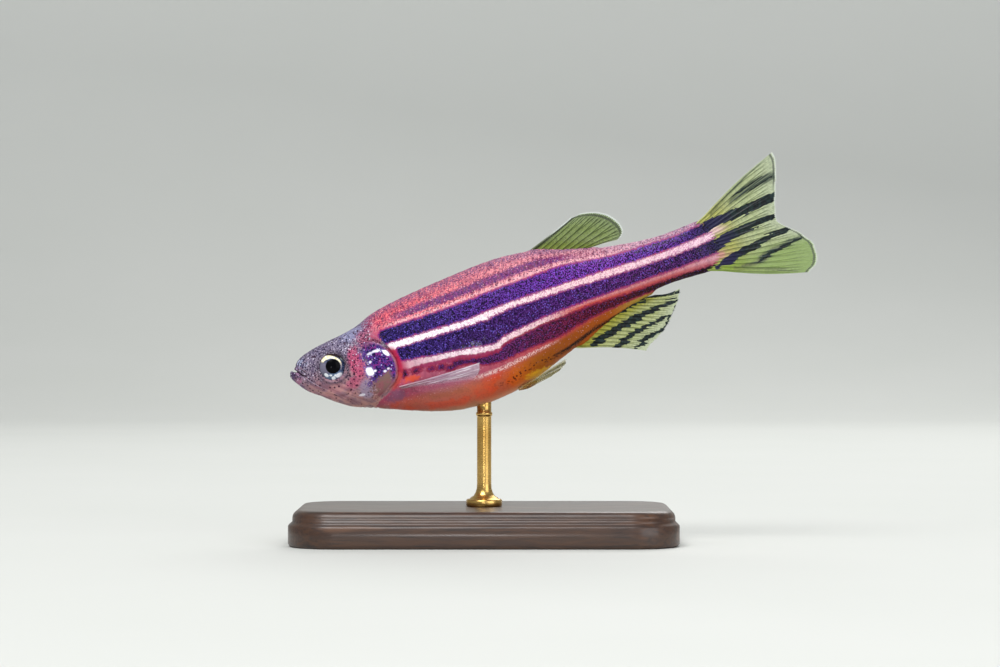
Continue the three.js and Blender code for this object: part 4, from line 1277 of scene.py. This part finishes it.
def base_piece():
    """A plate whose outline is a rounded rectangle, with a stepped and rounded upper edge: the
    same outline drawn in by the profile's inset at each height."""
    half_x, half_y = (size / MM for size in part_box("stand_base")[1][:2])
    count = 240
    angle = np.linspace(0, 2 * math.pi, count, endpoint=False) + 1e-4
    centre_x = np.sign(np.cos(angle)) * (half_x - CORNER_RADIUS)
    centre_y = np.sign(np.sin(angle)) * (half_y - CORNER_RADIUS)
    bend = np.linspace(0, math.pi / 2, 7)
    bottom = [(inset, 0.0) for inset in (3.6, 2.0, 0.8)]
    foot = [(FOOT_RADIUS * (1 - math.sin(b)), FOOT_RADIUS * (1 - math.cos(b))) for b in bend]
    side = [(0, 1.0), (0, 1.7)]
    cove = [(0.12, 1.86), (0.3, 1.98), (COVE[0], 2.1), COVE]
    crown = [
        (COVE[0] + CROWN_RADIUS - CROWN_RADIUS * math.cos(b), COVE[1] + CROWN_RADIUS * math.sin(b))
        for b in bend
    ]
    top = [(inset, BASE_TOP) for inset in (1.4, 2.4, 3.6)]
    inset, z = np.array([*bottom, *foot, *side, *cove, *crown, *top]).T[..., None]
    x = centre_x + (CORNER_RADIUS - inset) * np.cos(angle)
    y = centre_y + (CORNER_RADIUS - inset) * np.sin(angle)
    grid = np.stack([x, y, np.broadcast_to(z, x.shape)], -1)
    piece = tube_piece("stand_plinth", grid * MM, np.array([[0, 0, 0], [0, 0, BASE_TOP]]) * MM)
    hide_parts("stand_base")
    piece.data.materials.append(wood_paint().material)


def wood_paint():
    """Dark brown grain along the plate, with darker open pores under a satin finish."""
    paint = Paint("stained_wood", on_fish=False, IOR=1.5, Coat_IOR=1.5, Coat_Roughness=0.18)
    growth = paint.noise(0.9, 4, (0.12, 1.0, 1.0))
    pores = paint.noise(5.2, 2, (0.06, 1.0, 1.0))
    colour = paint.ramp(growth, [(0.3, "#22130c"), (0.45, "#432815"), (0.55, "#321c10"), (0.7, "#56351d")])
    colour = paint.mix(pores.above(0.58, 0.7) * 0.6, colour, "#160d09")
    paint.set("Base Color", colour)
    paint.set("Roughness", 0.36 + pores * 0.2)
    paint.set("Coat Weight", 0.25 + growth * 0.2)
    paint.bump(pores, 0.00003, 0.5)
    return paint


def rod_piece():
    """A turned rod: a profile of [radius, height] carried round the upright axis. Its top stands a
    little inside the belly."""
    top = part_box("stand_rod")[1][2] / MM
    foot = [
        (1.4, 0), (1.5, 0.08), (1.5, 0.5), (1.42, 0.6), (1.2, 0.64), (1.12, 0.75), (0.9, 0.86),
        (0.72, 1.15), (0.62, 1.5), (0.6, 1.9),
    ]
    collar = [(0.6, -1.0), (0.6, -0.9), (0.68, -0.86), (0.68, -0.62), (0.6, -0.58), (0.6, 0), (0.6, 0.7)]
    profile = np.array([(r, BASE_TOP + z) for r, z in foot] + [(r, top + z) for r, z in collar])
    sides = 64
    angle = np.linspace(0, 2 * math.pi, sides, endpoint=False)
    radius, height = profile[:, :1], np.repeat(profile[:, 1:], sides, 1)
    grid = np.stack([radius * np.cos(angle), radius * np.sin(angle), height], -1)
    ends = np.array([[0, 0, profile[0, 1]], [0, 0, profile[-1, 1]]])
    piece = tube_piece("stand_post", grid * MM, ends * MM)
    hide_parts("stand_rod")
    piece.data.materials.append(brass_paint().material)


def brass_paint():
    """Brass with the fine rings of turning, and a little browner in places."""
    paint = Paint("brass", on_fish=False, Metallic=1.0)
    turned = paint.noise(2.6, 3, (0.15, 0.15, 6.0))
    tarnish = paint.noise(0.26, 3)
    paint.set("Base Color", paint.mix(tarnish.above(0.4, 0.7), "#cfa962", "#ab8240"))
    paint.set("Roughness", 0.18 + turned * 0.16)
    paint.bump(turned, 0.00001, 0.35)
    return paint


# Floor, lights and camera

FRAME_WIDTH = 1000 / 12  # millimetres that the picture shows at the fish
LENS = 110
SENSOR = 36
LIGHTS_AIM = (0.002, 0, 0.018)
CENTRE = (1.32, 17.39)  # the picture's middle, as x and z


def stage():
    """A floor that curves up into a wall behind, as one smooth sheet."""
    turn = np.linspace(0.1, math.pi / 2, 14)
    depth = np.concatenate([np.linspace(-0.7, 0.35, 12), 0.35 + 0.3 * np.sin(turn), np.full(6, 0.65)])
    height = np.concatenate([np.zeros(12), 0.3 - 0.3 * np.cos(turn), np.linspace(0.35, 1.1, 6)])
    columns = 9
    x, row = np.meshgrid(np.linspace(-0.9, 0.9, columns), np.arange(len(depth)))
    points = np.stack([x, depth[row], height[row]], -1).reshape(-1, 3)
    mesh = bpy.data.meshes.new("backdrop")
    mesh.from_pydata(points.tolist(), [], quads(len(depth), columns)[2].tolist())
    mesh.shade_smooth()
    sheet = bpy.data.objects.new("backdrop", mesh)
    bpy.context.scene.collection.objects.link(sheet)
    paint = Paint("backdrop", on_fish=False, Roughness=0.8)
    floor = paint.mix(paint.noise(0.03), "#c9cbc6", "#cecfcb")
    paint.set("Base Color", paint.mix(paint.h.above(-40, 240), floor, "#e9ebe6"))
    mesh.materials.append(paint.material)


def light(name, place, size, watts, colour=(1, 1, 1)):
    """A square area lamp that looks at the fish's middle."""
    lamp = bpy.data.lights.new(name, "AREA")
    lamp.size = size
    lamp.energy = watts
    lamp.color = colour
    holder = bpy.data.objects.new(name, lamp)
    holder.location = place
    holder.rotation_euler = (Vector(LIGHTS_AIM) - Vector(place)).to_track_quat("-Z", "Y").to_euler()
    bpy.context.scene.collection.objects.link(holder)


def studio():
    """The surround's even light, four lamps, and the camera, which looks level at the fish's side."""
    scene = bpy.context.scene
    scene.view_settings.view_transform = "Standard"
    world = bpy.data.worlds.new("studio")
    world.use_nodes = True
    surround = world.node_tree.nodes["Background"].inputs
    surround["Color"].default_value = (0.94, 0.97, 1.0, 1)
    surround["Strength"].default_value = 0.36
    scene.world = world
    light("key", (-0.14, -0.3, 0.48), 0.34, 2.9)
    light("fill", (0.42, -0.42, 0.16), 0.45, 1.5, (0.97, 0.98, 1.0))
    light("rim", (0.1, 0.3, 0.3), 0.25, 0.8)
    light("spark", (-0.012, -0.34, 0.03), 0.03, 0.08)
    camera = bpy.data.cameras.new("camera")
    camera.lens = LENS
    camera.sensor_width = SENSOR
    camera.clip_start = 0.01
    camera.clip_end = 10
    holder = bpy.data.objects.new("camera", camera)
    holder.location = (CENTRE[0] * MM, -FRAME_WIDTH * MM * LENS / SENSOR, CENTRE[1] * MM)
    holder.rotation_euler = (math.pi / 2, 0, 0)
    scene.collection.objects.link(holder)
    scene.camera = holder


studio()
stage()
body_skin()
fins()
iris = eye_paint()
for eye_side in SIDES:
    eye_piece(eye_side, iris)
feelers()
base_piece()
rod_piece()
